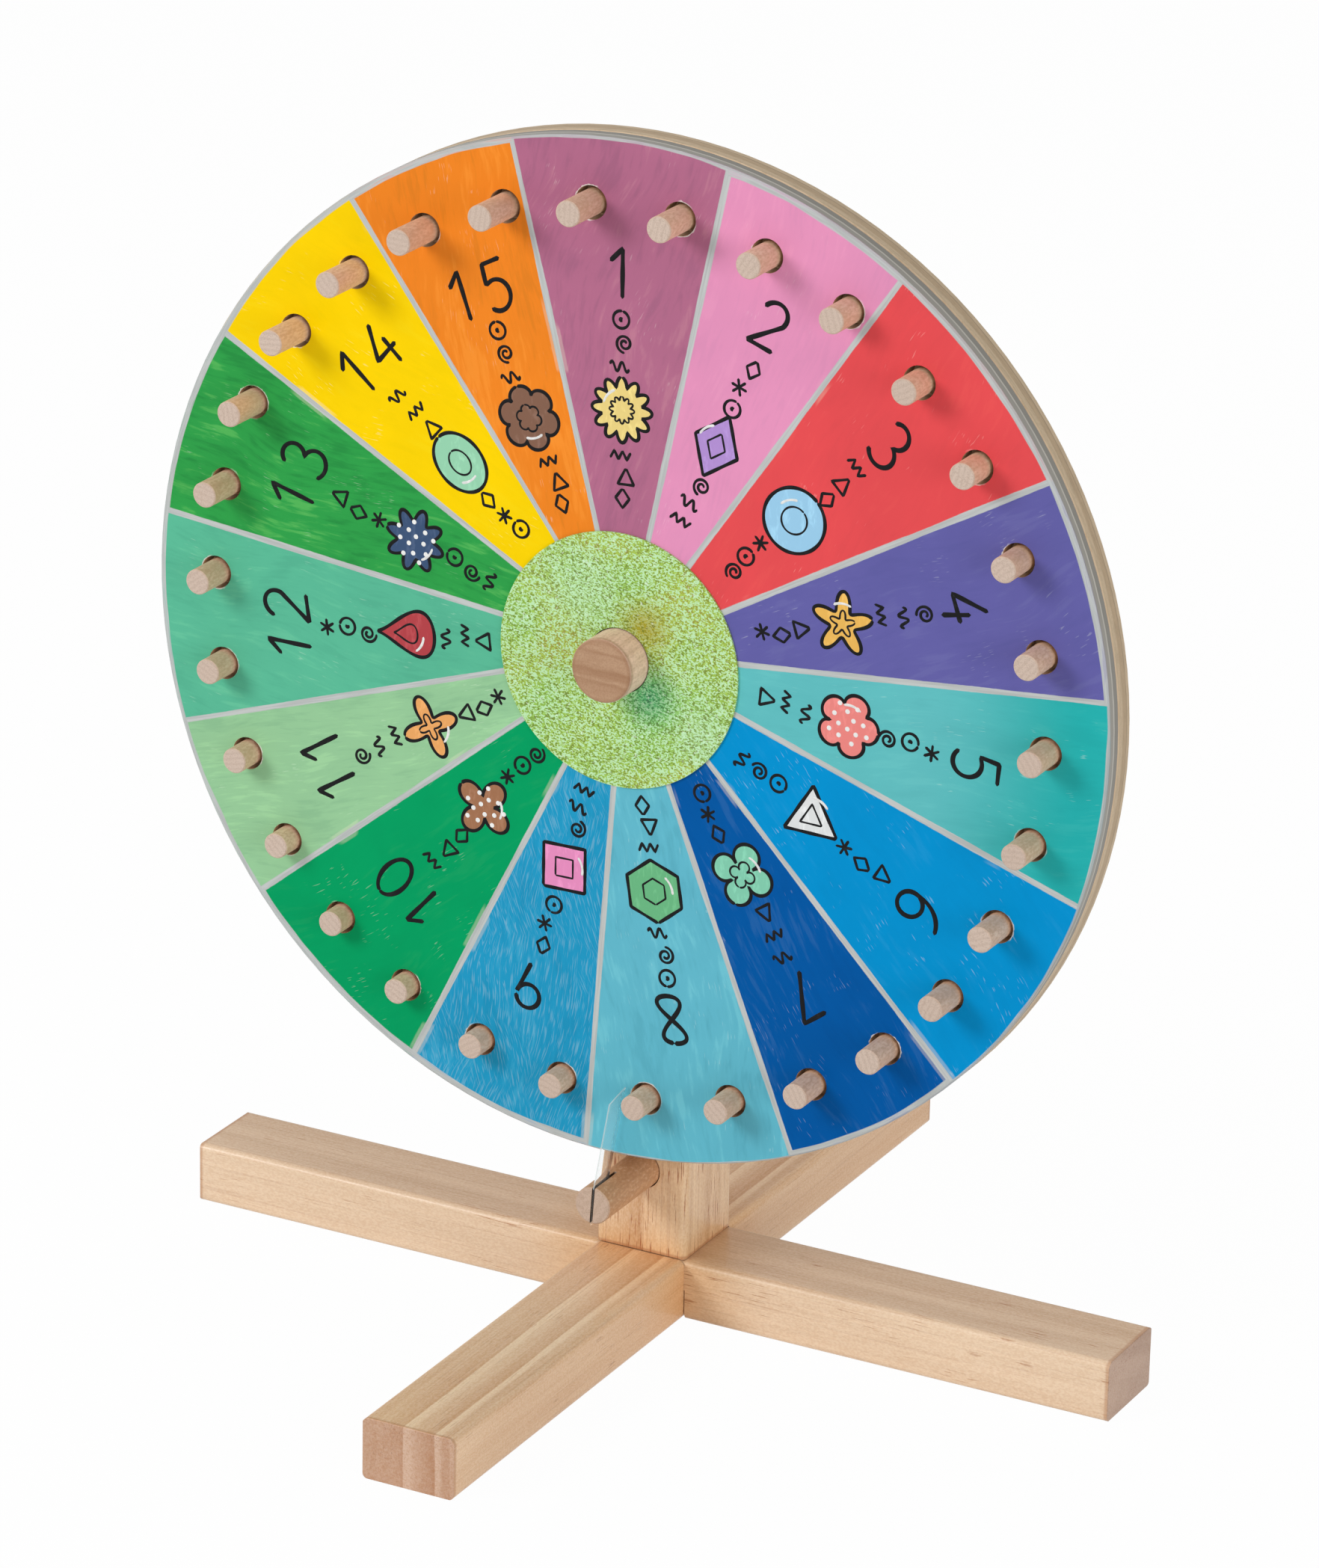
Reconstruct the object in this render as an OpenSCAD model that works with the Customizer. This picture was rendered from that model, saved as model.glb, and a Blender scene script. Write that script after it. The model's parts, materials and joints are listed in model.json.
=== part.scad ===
// Table-top prize wheel: a pegged wheel on a post, with a plastic flapper that clicks past the pegs.
// Millimetres, +Z up. The wheel faces -Y and the origin is on the table under the post's middle.

/* [Base] */
// Length of each base beam
beam_len = 400; // [300:5:500]
// Width of a base beam
beam_w = 39; // [37:1:60]
// Height of a base beam
beam_h = 25; // [18:1:40]
// Radius of the eased long edges of the beams and the post
timber_ease = 2.8; // [0.5:0.1:4]
// Radius of the eased edges round their sawn ends
end_ease = 0.5; // [0.2:0.1:1.5]
// Gap between the two halves of the lap joint
lap_gap = 0.1; // [0.05:0.05:0.3]
// Gap on either side of the lower beam in the upper beam's notch
lap_play = 0.4; // [0.1:0.05:0.6]

/* [Post] */
// Width of the square post
post_w = 39; // [37:1:60]
// Height of the post above the axle
post_over_axle = 40; // [25:1:80]
// Diameter of the screws that hold the post
screw_d = 5; // [4:0.5:8]
// Diameter of a screw's countersunk head
screw_head_d = 10; // [8:0.5:14]
// Depth of a screw in the post
screw_bite = 36; // [25:1:60]
// Wood between a screw and the pointer dowel
screw_wall = 2; // [1.5:0.25:3]
// Depth of the screw heads below the beam's underside
screw_sink = 1; // [0.5:0.25:3]
// Gap round a screw where it passes through the beams
screw_play = 0.2; // [0.1:0.05:0.5]

/* [Wheel] */
// Diameter of the wheel
wheel_d = 400; // [300:10:500]
// Gap between the wheel's rim and the base
wheel_clear = 52; // [45:1:80]
// Thickness of the plywood back disc
back_disc_t = 10; // [9:0.5:18]
// Thickness of the painted front disc
front_disc_t = 8; // [4:0.5:12]
// Chamfer on the rims of both discs
rim_ease = 0.6; // [0.2:0.1:1.5]
// Diameter of the card disc round the hub
hub_disc_d = 100; // [60:1:160]
// Thickness of the card disc
hub_disc_t = 0.8; // [0.5:0.1:2]
// Gap between the card disc and the knob
hub_disc_gap = 0.4; // [0.2:0.1:1]

/* [Pegs] */
// Number of pegs round the wheel
peg_count = 30; // [20:1:40]
// Diameter of a peg
peg_d = 10; // [6:0.5:12]
// Distance of the peg circle from the wheel's rim
peg_inset = 25; // [18:1:40]
// Mean length of a peg in front of the front disc
peg_out = 14; // [12:0.5:20]
// Unevenness of that length round the wheel, most at the upper left and least at the lower left
peg_out_swing = 3.4; // [0:0.2:4]
// Depth of the peg in the back disc
peg_depth = 8; // [5:0.5:8.5]
// Diameter of the clearance holes in the front disc
peg_hole_d = 13; // [12.5:0.5:16]
// Chamfer on a peg's end
peg_ease = 0.4; // [0.2:0.1:1]
// Turn of the wheel at rest, in degrees from a peg standing at the top
wheel_turn = -5; // [-6:0.5:-4]

/* [Axle] */
// Diameter of the axle, whose front end is the knob
axle_d = 25; // [18:0.5:26]
// Length of the knob in front of the card disc
knob_out = 13.5; // [6:0.5:30]
// Rounding of the knob's front edge
knob_ease = 1; // [0.5:0.1:3]
// Radial play of the axle in the post
axle_play = 0.1; // [0.05:0.01:0.1]
// Gap between the post and the turning pieces on either side of it
side_play = 0.3; // [0.2:0.1:0.8]
// Thickness of the spacer ring between the wheel and the post
spacer_t = 8.7; // [4:0.1:20]
// Outer diameter of the spacer ring and of the washer
ring_d = 38; // [34:1:60]
// Thickness of the washer behind the post
washer_t = 3; // [1:0.5:6]
// Diameter of the cross pin
pin_d = 6; // [4:0.5:8]
// Length of the cross pin
pin_len = 44; // [36:1:60]
// Length of the axle behind the cross pin
axle_tail = 6; // [4:0.5:15]

/* [Pointer] */
// Diameter of the pointer dowel
pointer_d = 15; // [12:0.5:18]
// Length of the pointer dowel in front of the flapper's wheel side
pointer_seat = 12; // [8:0.5:16]
// Depth of the pointer dowel in the post
pointer_depth = 22; // [12:1:26]
// Gap round the pointer dowel in the post
pointer_gap = 0.45; // [0.05:0.05:0.6]
// Chamfer on the dowel's front end
pointer_ease = 0.5; // [0.2:0.1:1]
// Depth of the saw cut behind the dowel's front end
slot_depth = 18; // [16.5:0.5:24]
// Lean of the saw cut
slot_lean = 3.5; // [0:0.5:8]
// Lean of the flapper above the saw cut, to which it has set in use
flapper_lean = 9.5; // [0:0.5:12]
// Thickness of the flapper
flapper_t = 0.6; // [0.4:0.1:1.2]
// Gap on either side of the flapper in the saw cut
slot_gap = 0.25; // [0.15:0.05:0.4]
// Length of the flapper above the dowel
flapper_free = 39.5; // [30:0.5:48]
// Drop from the flapper's tip to its front shoulder
flapper_slant = 3; // [0:0.5:8]
// Length of the flapper that shows below the dowel
flapper_tail = 0.8; // [0:0.1:3]
// Height to which the flapper's tip reaches up between the pegs
flapper_bite = 9; // [4:0.5:10]
// Gap between the flapper and the front disc
flapper_gap = 1.2; // [0.5:0.1:3]

/* [Hidden] */
$fn = 64;
// Small overlap that makes a cut pass through a face
cut = 1;
// Clearance between glued pieces
glue_gap = 0.05;

// Places from front to back, measured from the post's front face
post_front = -post_w / 2;
back_disc_rear = post_front - side_play - spacer_t;
back_disc_front = back_disc_rear - back_disc_t;
face_y = back_disc_front - front_disc_t;
hub_front = face_y - hub_disc_t;
knob_front = hub_front - knob_out;
washer_front = post_w / 2 + side_play;
pin_y = washer_front + washer_t + side_play + pin_d / 2;
axle_rear = pin_y + pin_d / 2 + axle_tail;
flapper_rear = face_y - flapper_gap;
pointer_front = flapper_rear - pointer_seat;

// Heights
axle_z = beam_h + wheel_clear + wheel_d / 2;
post_top = axle_z + post_over_axle;
peg_circle_r = wheel_d / 2 - peg_inset;
tip_z = axle_z - peg_circle_r - peg_d / 2 + flapper_bite;
mouth_z = tip_z - flapper_free * cos(flapper_lean);
pointer_z = mouth_z - pointer_d / 2 * cos(slot_lean);

// Radii
axle_r = axle_d / 2;
disc_bore_r = axle_r + glue_gap;
peg_r = peg_d / 2;
pointer_r = pointer_d / 2;
slot_w = flapper_t + 2 * slot_gap;
screw_hole_r = screw_d / 2 + screw_play;
screw_head_r = screw_head_d / 2;
screw_cone_h = screw_head_r - screw_d / 2;

// Places of the screws on either side of the pointer dowel, and the height that they reach
screw_x = pointer_r + pointer_gap + screw_wall + screw_d / 2;
screw_top = beam_h + screw_bite;

function peg_angle(i) = wheel_turn + i * 360 / peg_count;
function peg_length(i) = peg_out + peg_out_swing * (cos(peg_angle(i)) - sin(2 * peg_angle(i)));
function peg_name(i) = str("peg_", i < 9 ? "0" : "", i + 1);

peg_names = [for (i = [0 : peg_count - 1]) peg_name(i)];

// Rectangle with rounded corners, centred
module soft_rect(w, d, r) {
    square([w - 2 * r, d], center = true);
    square([w, d - 2 * r], center = true);
    for (x = [-1, 1], y = [-1, 1])
        translate([x * (w / 2 - r), y * (d / 2 - r)]) circle(r);
}

// Timber centred in X and Y and standing on Z = 0, with the radii of its edges along X, Y and Z
module timber(size, ease) {
    w = size[0];
    d = size[1];
    h = size[2];
    translate([0, 0, h / 2]) intersection() {
        rotate([90, 0, 90]) linear_extrude(w, center = true) soft_rect(d, h, ease[0]);
        rotate([90, 0, 0]) linear_extrude(d, center = true) soft_rect(w, h, ease[1]);
        linear_extrude(h, center = true) soft_rect(w, d, ease[2]);
    }
}

// Cylinder along Y from one place to another, about an axis at height z
module rod_y(r, from, to, z) {
    translate([0, from, z]) rotate([-90, 0, 0]) cylinder(r = r, h = to - from);
}

// Solid along Y whose front edge has a chamfer
module eased_rod_y(r, from, to, z, ease) {
    translate([0, from, z]) rotate([-90, 0, 0]) {
        cylinder(r1 = r - ease, r2 = r, h = ease);
        translate([0, 0, ease]) cylinder(r = r, h = to - from - ease);
    }
}

// Disc along Y with both rims chamfered
module eased_disc_y(r, from, to, z, ease) {
    t = to - from;
    translate([0, from, z]) rotate([-90, 0, 0])
        rotate_extrude($fn = 180)
            polygon([[0, 0], [r - ease, 0], [r, ease], [r, t - ease], [r - ease, t], [0, t]]);
}

// Children placed on peg i's axis, at the wheel's middle height
module at_peg(i) {
    translate([peg_circle_r * sin(peg_angle(i)), 0, peg_circle_r * cos(peg_angle(i))]) children();
}

// Children turned about the pointer dowel's axis to the lean of the saw cut
module at_slot() {
    translate([0, 0, pointer_z]) rotate([0, slot_lean, 0]) children();
}

// Point of the flapper's outline in X and Z, at a distance along it from the mouth of the saw cut
// and to one side of its middle
function flapper_point(lean, along, side) = [
    pointer_r * sin(slot_lean) + along * sin(lean) + side * cos(lean),
    mouth_z + along * cos(lean) - side * sin(lean)
];

// Children at each of the two screws, which rise side by side from the table
module at_screws() {
    for (x = [-1, 1]) translate([x * screw_x, 0, 0]) children();
}

// A screw's shape with its head sunk in the underside, fattened by the given play
module screw_form(play, top) {
    translate([0, 0, screw_sink]) {
        cylinder(r1 = screw_head_r + play, r2 = screw_d / 2 + play, h = screw_cone_h);
        cylinder(r = screw_d / 2 + play, h = top - screw_sink);
    }
}

// The way that a screw and its head take through a beam
module screw_way() {
    translate([0, 0, -cut]) cylinder(r = screw_head_r + screw_play, h = screw_sink + cut);
    screw_form(screw_play, beam_h + cut);
}

// Lower beam, from front to back, notched from above
module base_beam_long() {
    color("burlywood") difference() {
        timber([beam_w, beam_len, beam_h], [end_ease, timber_ease, end_ease]);
        translate([0, 0, beam_h]) cube([beam_w + cut, beam_w + 2 * lap_gap, beam_h], center = true);
        at_screws() screw_way();
    }
}

// Upper beam, from left to right, notched from below
module base_beam_cross() {
    color("wheat") difference() {
        timber([beam_len, beam_w, beam_h], [timber_ease, end_ease, end_ease]);
        cube([beam_w + 2 * lap_play, beam_w + cut, beam_h], center = true);
        at_screws() cylinder(r = screw_hole_r, h = beam_h + cut);
    }
}

// Post with the bores for the axle, the pointer dowel and the screws
module post() {
    color("navajowhite") difference() {
        translate([0, 0, beam_h])
            timber([post_w, post_w, post_top - beam_h], [end_ease, end_ease, timber_ease]);
        rod_y(axle_r + axle_play, post_front - cut, -post_front + cut, axle_z);
        rod_y(pointer_r + pointer_gap, post_front - cut, post_front + pointer_depth + glue_gap, pointer_z);
        at_screws() cylinder(r = screw_d / 2 + glue_gap, h = screw_top + glue_gap);
    }
}

// Two countersunk wood screws
module post_screws() {
    color("silver") at_screws() screw_form(0, screw_top);
}

// Dowel that holds the flapper in a saw cut in its front end
module pointer_dowel() {
    color("tan") difference() {
        eased_rod_y(pointer_r, pointer_front, post_front + pointer_depth, pointer_z, pointer_ease);
        at_slot() translate([-slot_w / 2, pointer_front - cut, -pointer_d])
            cube([slot_w, slot_depth + cut, 2 * pointer_d]);
    }
}

// Clear strip, set over at the mouth of the saw cut, whose slanted top reaches between the pegs
module flapper() {
    side = flapper_t / 2;
    foot = -pointer_d - flapper_tail;
    top = flapper_free + cut;
    bend = (slot_lean + flapper_lean) / 2;
    color("lightcyan", 0.4) intersection() {
        translate([0, flapper_rear, 0]) rotate([90, 0, 0])
            linear_extrude(pointer_seat)
                polygon([
                    flapper_point(slot_lean, foot, -side),
                    flapper_point(bend, 0, -side),
                    flapper_point(flapper_lean, top, -side),
                    flapper_point(flapper_lean, top, side),
                    flapper_point(bend, 0, side),
                    flapper_point(slot_lean, foot, side)
                ]);
        rotate([90, 0, 90]) linear_extrude(2 * top, center = true)
            polygon([
                [pointer_front - cut, mouth_z + foot - cut],
                [flapper_rear + cut, mouth_z + foot - cut],
                [flapper_rear + cut, tip_z + flapper_slant * cut / pointer_seat],
                [pointer_front - cut, tip_z - flapper_slant - flapper_slant * cut / pointer_seat]
            ]);
    }
}

// Axle with the knob as its front end and a hole for the cross pin in its tail
module axle() {
    color("peru") difference() {
        union() {
            rod_y(axle_r, knob_front + knob_ease, axle_rear, axle_z);
            rod_y(axle_r - knob_ease, knob_front, axle_rear, axle_z);
            translate([0, knob_front + knob_ease, axle_z]) rotate([90, 0, 0])
                rotate_extrude() translate([axle_r - knob_ease, 0]) circle(knob_ease);
        }
        translate([0, pin_y, axle_z]) cylinder(r = pin_d / 2 + glue_gap, h = axle_d + cut, center = true);
    }
}

// Ring along Y round the axle
module axle_ring(from, to, bore_gap) {
    difference() {
        rod_y(ring_d / 2, from, to, axle_z);
        rod_y(axle_r + bore_gap, from - cut, to + cut, axle_z);
    }
}

// Wooden ring that keeps the wheel off the post
module spacer_ring() {
    color("sienna") axle_ring(back_disc_rear, back_disc_rear + spacer_t, glue_gap);
}

// Washer between the post and the cross pin
module rear_washer() {
    color("gainsboro") axle_ring(washer_front, washer_front + washer_t, axle_play);
}

// Cross pin that keeps the axle in the post
module axle_pin() {
    color("tan") translate([0, pin_y, axle_z]) cylinder(r = pin_d / 2, h = pin_len, center = true);
}

// Plywood disc with a blind hole for each peg
module back_disc() {
    color("burlywood") difference() {
        eased_disc_y(wheel_d / 2, back_disc_front, back_disc_rear, axle_z, rim_ease);
        rod_y(disc_bore_r, back_disc_front - cut, back_disc_rear + cut, axle_z);
        for (i = [0 : peg_count - 1])
            at_peg(i) rod_y(peg_r + glue_gap, back_disc_front - cut, back_disc_front + peg_depth, axle_z);
    }
}

// Painted disc with a clearance hole round each peg
module front_disc() {
    color("mediumturquoise") difference() {
        eased_disc_y(wheel_d / 2, face_y, back_disc_front, axle_z, rim_ease);
        rod_y(disc_bore_r, face_y - cut, back_disc_front + cut, axle_z);
        for (i = [0 : peg_count - 1])
            at_peg(i) rod_y(peg_hole_d / 2, face_y - cut, back_disc_front + cut, axle_z);
    }
}

// Card disc round the knob
module hub_disc() {
    color("yellowgreen") difference() {
        rod_y(hub_disc_d / 2, hub_front, face_y, axle_z);
        rod_y(axle_r + hub_disc_gap, hub_front - cut, face_y + cut, axle_z);
    }
}

// Peg i, glued in the back disc and standing through its hole in the front disc
module peg(i) {
    color("bisque") at_peg(i)
        eased_rod_y(peg_r, face_y - peg_length(i), back_disc_front + peg_depth, axle_z, peg_ease);
}

base_beam_long();
base_beam_cross();
post();
post_screws();
pointer_dowel();
flapper();
axle();
spacer_ring();
rear_washer();
axle_pin();
back_disc();
front_disc();
hub_disc();
for (i = [0 : peg_count - 1]) peg(i);
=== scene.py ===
"""Table-top prize wheel: paint, marker drawings, wood, glitter and clear plastic on the packed part."""

import json
import math

import bpy
import numpy as np
from mathutils import Matrix, Vector


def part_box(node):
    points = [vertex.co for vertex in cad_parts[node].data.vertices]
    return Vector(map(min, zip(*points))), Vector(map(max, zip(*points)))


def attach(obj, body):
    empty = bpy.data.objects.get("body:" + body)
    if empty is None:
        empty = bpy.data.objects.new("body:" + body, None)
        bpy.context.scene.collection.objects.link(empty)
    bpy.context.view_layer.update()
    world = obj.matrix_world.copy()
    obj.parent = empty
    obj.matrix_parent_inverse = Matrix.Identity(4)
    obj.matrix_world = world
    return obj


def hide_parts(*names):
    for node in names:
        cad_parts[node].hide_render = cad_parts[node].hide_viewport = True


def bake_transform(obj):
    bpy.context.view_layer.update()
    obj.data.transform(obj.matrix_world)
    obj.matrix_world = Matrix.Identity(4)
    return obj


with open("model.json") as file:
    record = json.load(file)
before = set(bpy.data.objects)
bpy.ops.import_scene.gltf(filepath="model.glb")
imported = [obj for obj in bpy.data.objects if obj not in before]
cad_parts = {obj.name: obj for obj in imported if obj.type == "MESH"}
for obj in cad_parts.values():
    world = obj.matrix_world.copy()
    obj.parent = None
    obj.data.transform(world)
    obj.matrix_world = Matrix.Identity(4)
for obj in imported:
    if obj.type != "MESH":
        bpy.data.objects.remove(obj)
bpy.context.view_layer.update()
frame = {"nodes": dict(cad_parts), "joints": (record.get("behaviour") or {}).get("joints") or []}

bl_info = {
    "name": "Prize Wheel",
    "version": (1, 0, 0),
    "blender": (4, 5, 0),
    "location": "View3D > Sidebar > Prize Wheel",
    "description": "Paints and dresses a table-top prize wheel with pegs and a flapper",
    "category": "Object",
}

MM = 0.001
JOINTS = {joint["name"]: joint for joint in frame["joints"]}
PEGS = sorted(name for name in frame["nodes"] if name.startswith("peg_"))

AXLE_Z = JOINTS["wheel_spin"]["pos_m"][2]
FACE_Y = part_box("front_disc")[0].y
FACE_BACK_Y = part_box("front_disc")[1].y
PLY_BACK_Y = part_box("back_disc")[1].y
WHEEL_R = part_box("front_disc")[1].z - AXLE_Z
PEG_MIDDLE = (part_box("peg_01")[0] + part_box("peg_01")[1]) / 2
PEG_RING = math.hypot(PEG_MIDDLE.x, PEG_MIDDLE.z - AXLE_Z)

PEG_TURN = math.tau / len(PEGS)
PEG_EDGE = math.atan2(PEG_MIDDLE.x, PEG_MIDDLE.z - AXLE_Z) - PEG_TURN / 2

# The painter's middle, a little off the axle
PAINT_X = 2.0 * MM
PAINT_Z = AXLE_Z + 3.5 * MM

# Chipped paint round a peg's middle, painted shade round the axle under the hub card, and the rim's share of
# the side walls
CHIP_R = 6.7 * MM
PAINTED_SHADE_R = 15.0 * MM
RIM_INSET = 10.0 * MM

# The saw cut in the pointer dowel, and the strip of clear plastic in it
SLOT_LEAN = math.radians(3.5)
SLOT_HALF = 0.55 * MM
SLOT_DEPTH = 18.0 * MM
FLAPPER_LEAN = math.radians(9.5)
FLAPPER_SLANT = 3.0 * MM
FLAPPER_HALF = 0.3 * MM
FLAPPER_EDGE = 0.05 * MM
FLAPPER_EASE = 2.0 * MM
FLAPPER_ROWS = 90

# Each sector's paint, where it starts in degrees clockwise from the top, and how far its brush strokes show
SECTOR_PAINTS = [
    ("Mauve", (0.456, 0.150, 0.258), -15.0, 0.45),
    ("Pink", (0.800, 0.300, 0.510), 11.5, 0.15),
    ("Red", (0.807, 0.080, 0.088), 34.0, 0.10),
    ("Violet", (0.130, 0.122, 0.385), 60.5, 0.20),
    ("Turquoise", (0.125, 0.527, 0.540), 85.0, 0.20),
    ("Azure", (0.000, 0.290, 0.645), 108.5, 0.12),
    ("Dark blue", (0.000, 0.098, 0.370), 135.5, 0.25),
    ("Cyan", (0.125, 0.490, 0.615), 158.0, 0.50),
    ("Middle blue", (0.016, 0.325, 0.570), 183.5, 0.40),
    ("Emerald", (0.000, 0.350, 0.120), 206.0, 0.10),
    ("Light green", (0.314, 0.597, 0.325), 231.0, 0.45),
    ("Mint", (0.105, 0.491, 0.309), 251.5, 0.35),
    ("Grass green", (0.030, 0.350, 0.070), 276.0, 0.90),
    ("Yellow", (0.990, 0.665, 0.000), 299.0, 0.10),
    ("Orange", (0.880, 0.240, 0.018), 323.0, 0.40),
]
SECTORS = len(SECTOR_PAINTS)
SECTOR_NAMES = [label for label, *_ in SECTOR_PAINTS]
DEEPENING = SECTOR_NAMES.index("Turquoise")
BRISTLED = SECTOR_NAMES.index("Middle blue")
SECTOR_TURN = math.tau / SECTORS
EDGES = np.radians([start for _, _, start, _ in SECTOR_PAINTS] + [SECTOR_PAINTS[0][2] + 360.0])

# Tones of each timber: early wood, late wood and the tint of the end grain
TIMBER_KINDS = {"pale": "Early wood", "dark": "Late wood", "end": "End grain"}
TIMBER_TONES = {
    "long": ("beam from front to back", (0.97, 0.69, 0.43), (0.66, 0.34, 0.145), (0.72, 0.68, 0.76)),
    "cross": ("beam from left to right", (0.91, 0.685, 0.475), (0.55, 0.34, 0.19), (0.63, 0.56, 0.57)),
    "post": ("post", (0.93, 0.67, 0.41), (0.57, 0.31, 0.14), (0.74, 0.71, 0.79)),
}

# Growth bands across each timber: the place from 0 to 1 and the share of late wood there
LONG_BANDS = [
    (0.0, 0.48), (0.14, 0.60), (0.16, 0.48), (0.40, 0.66), (0.425, 0.84), (0.44, 0.0), (0.50, 0.06),
    (0.55, 0.40), (0.66, 0.64), (0.77, 0.88), (0.785, 0.0), (0.83, 0.08), (0.86, 0.50), (0.93, 0.58),
    (0.945, 0.34), (1.0, 0.42),
]
CROSS_BANDS = [
    (0.0, 0.14), (0.20, 0.22), (0.22, 0.12), (0.45, 0.20), (0.47, 0.10), (0.66, 0.16), (0.73, 0.46),
    (0.80, 0.60), (0.83, 0.46), (0.92, 0.60), (0.94, 0.48), (1.0, 0.58),
]
POST_BANDS = [
    (0.0, 0.35), (0.10, 0.42), (0.165, 0.78), (0.185, 0.15), (0.30, 0.08), (0.36, 0.12), (0.44, 0.36),
    (0.47, 0.10), (0.60, 0.22), (0.70, 0.46), (0.73, 0.06), (0.84, 0.32), (0.87, 0.05), (1.0, 0.30),
]

# How far the painted warm shade, for light bounced between the timbers and contact shade, reaches from the
# beams' crossing and up from the post's foot
CROSSING_PAINTED_SHADE = 38.0 * MM
FOOT_PAINTED_SHADE = 13.0 * MM

# Brown bands across the knob's end, from its foot to its top
KNOB_BANDS = [
    (0.0, 0.40), (0.10, 0.18), (0.26, 0.42), (0.34, 0.62), (0.37, 0.08), (0.41, 0.52), (0.52, 0.78),
    (0.56, 0.40), (0.64, 0.16), (0.76, 0.22), (0.80, 0.56), (0.84, 0.16), (1.0, 0.30),
]

# Plies through the rim: the place from front to back and the kind of wood there
PLIES = [
    (0.0, "tan"), (0.04, "pale"), (0.34, "pale"), (0.37, "tan"), (0.40, "tan"), (0.66, "tan"),
    (0.69, "glue"), (0.73, "pale"), (0.95, "pale"), (1.0, "glue"),
]

MOTIF_PAINTS = [
    ("Straw", (0.80, 0.62, 0.20)),
    ("Lilac", (0.42, 0.25, 0.62)),
    ("Sky", (0.30, 0.58, 0.80)),
    ("Gold", (0.80, 0.45, 0.08)),
    ("Coral", (0.82, 0.22, 0.20)),
    ("Chalk", (0.72, 0.74, 0.74)),
    ("Sea green", (0.20, 0.58, 0.40)),
    ("Leaf", (0.12, 0.45, 0.20)),
    ("Rose", (0.78, 0.25, 0.50)),
    ("Cinnamon", (0.33, 0.14, 0.06)),
    ("Apricot", (0.80, 0.36, 0.10)),
    ("Cherry", (0.42, 0.03, 0.04)),
    ("Navy", (0.02, 0.06, 0.15)),
    ("Mint cream", (0.28, 0.62, 0.40)),
    ("Cocoa", (0.20, 0.09, 0.05)),
]


def colour(label, words, value):
    """A colour that shows in the sidebar, in linear light."""
    return bpy.props.FloatVectorProperty(
        name=label, description=words, subtype="COLOR", size=3, min=0.0, max=1.0, default=value
    )


def number(label, words, value, **limits):
    """A number that shows in the sidebar."""
    return bpy.props.FloatProperty(name=label, description=words, default=value, **limits)


def length(label, words, value):
    """A length that shows in the sidebar, in metres."""
    return number(label, words, value, min=0.0, unit="LENGTH", precision=5)


class PaintSettings(bpy.types.PropertyGroup):
    """Paints of the front disc."""

    line_width: length("Line width", "Width of the silver lines between the sectors", 2.3 * MM)
    rim_width: length("Rim width", "Width of the silver line at the rim", 1.9 * MM)
    deepened: colour("Deepened turquoise", "Turquoise towards the rim", (0.020, 0.440, 0.430))
    silver: colour("Silver", "Marker between the sectors and round the rim", (0.55, 0.575, 0.565))
    bare_wood: colour("Bare wood", "Walls of the peg holes", (0.78, 0.58, 0.40))
    bare_rim: colour("Bare rim", "Rim of the front disc", (0.36, 0.345, 0.31))


for place, (label, value, _, strokes) in enumerate(SECTOR_PAINTS, 1):
    PaintSettings.__annotations__[f"sector_{place:02d}"] = colour(
        label, f"Paint of sector {place}, counted clockwise from the top", value
    )
    PaintSettings.__annotations__[f"strokes_{place:02d}"] = number(
        f"{label} strokes", f"How far the brush strokes show in sector {place}", strokes,
        subtype="FACTOR", min=0.0, max=1.0,
    )


class MarkSettings(bpy.types.PropertyGroup):
    """Marker numbers and motifs."""

    ink: colour("Ink", "Black marker", (0.004, 0.004, 0.005))
    highlight: colour("Highlight", "White touches on the motifs", (0.82, 0.82, 0.80))
    stroke: length("Stroke", "Width of a marker stroke", 2.0 * MM)
    digit_height: length("Digit height", "Height of the numbers", 19.0 * MM)
    digit_radius: length("Digit radius", "Distance of the numbers from the axle", 146.0 * MM)
    motif_size: length("Motif size", "Half the size of a motif", 12.5 * MM)
    motif_radius: length("Motif radius", "Distance of the motifs from the axle", 94.0 * MM)
    ornament_size: length("Ornament size", "Size of the small ornaments", 7.2 * MM)
    film: length("Film", "Height of a marker stroke above the paint", 0.10 * MM)


for place, (label, value) in enumerate(MOTIF_PAINTS, 1):
    MarkSettings.__annotations__[f"motif_{place:02d}"] = colour(label, f"Motif in sector {place}", value)


class WoodSettings(bpy.types.PropertyGroup):
    """Woods of the stand, the plywood and the dowels."""

    streak: colour("Streaks", "Brown dashes and lines in the beams", (0.44, 0.18, 0.07))
    post_streak: colour("Post streaks", "Reddish dashes and lines in the post", (0.40, 0.12, 0.035))
    beech: colour("Beech", "Sides of the pegs", (0.80, 0.55, 0.385))
    beech_end: colour("Beech end", "Ends of the pegs", (0.63, 0.50, 0.415))
    dowel: colour("Dowel", "Side of the pointer dowel", (0.66, 0.375, 0.20))
    dowel_end: colour("Dowel end", "End of the pointer dowel", (0.61, 0.455, 0.355))
    knob: colour("Knob", "Knob's end", (0.52, 0.33, 0.205))
    knob_figure: colour("Knob figure", "Brown figure on the knob's end", (0.30, 0.145, 0.07))
    knob_side: colour("Knob side", "Side of the knob", (0.93, 0.66, 0.54))
    ply_pale: colour("Plywood, pale", "Outer plies", (0.60, 0.465, 0.31))
    ply_tan: colour("Plywood, tan", "Middle ply", (0.50, 0.37, 0.235))
    ply_face: colour("Plywood, face", "Veneer on the wheel's back", (0.80, 0.60, 0.40))


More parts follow.
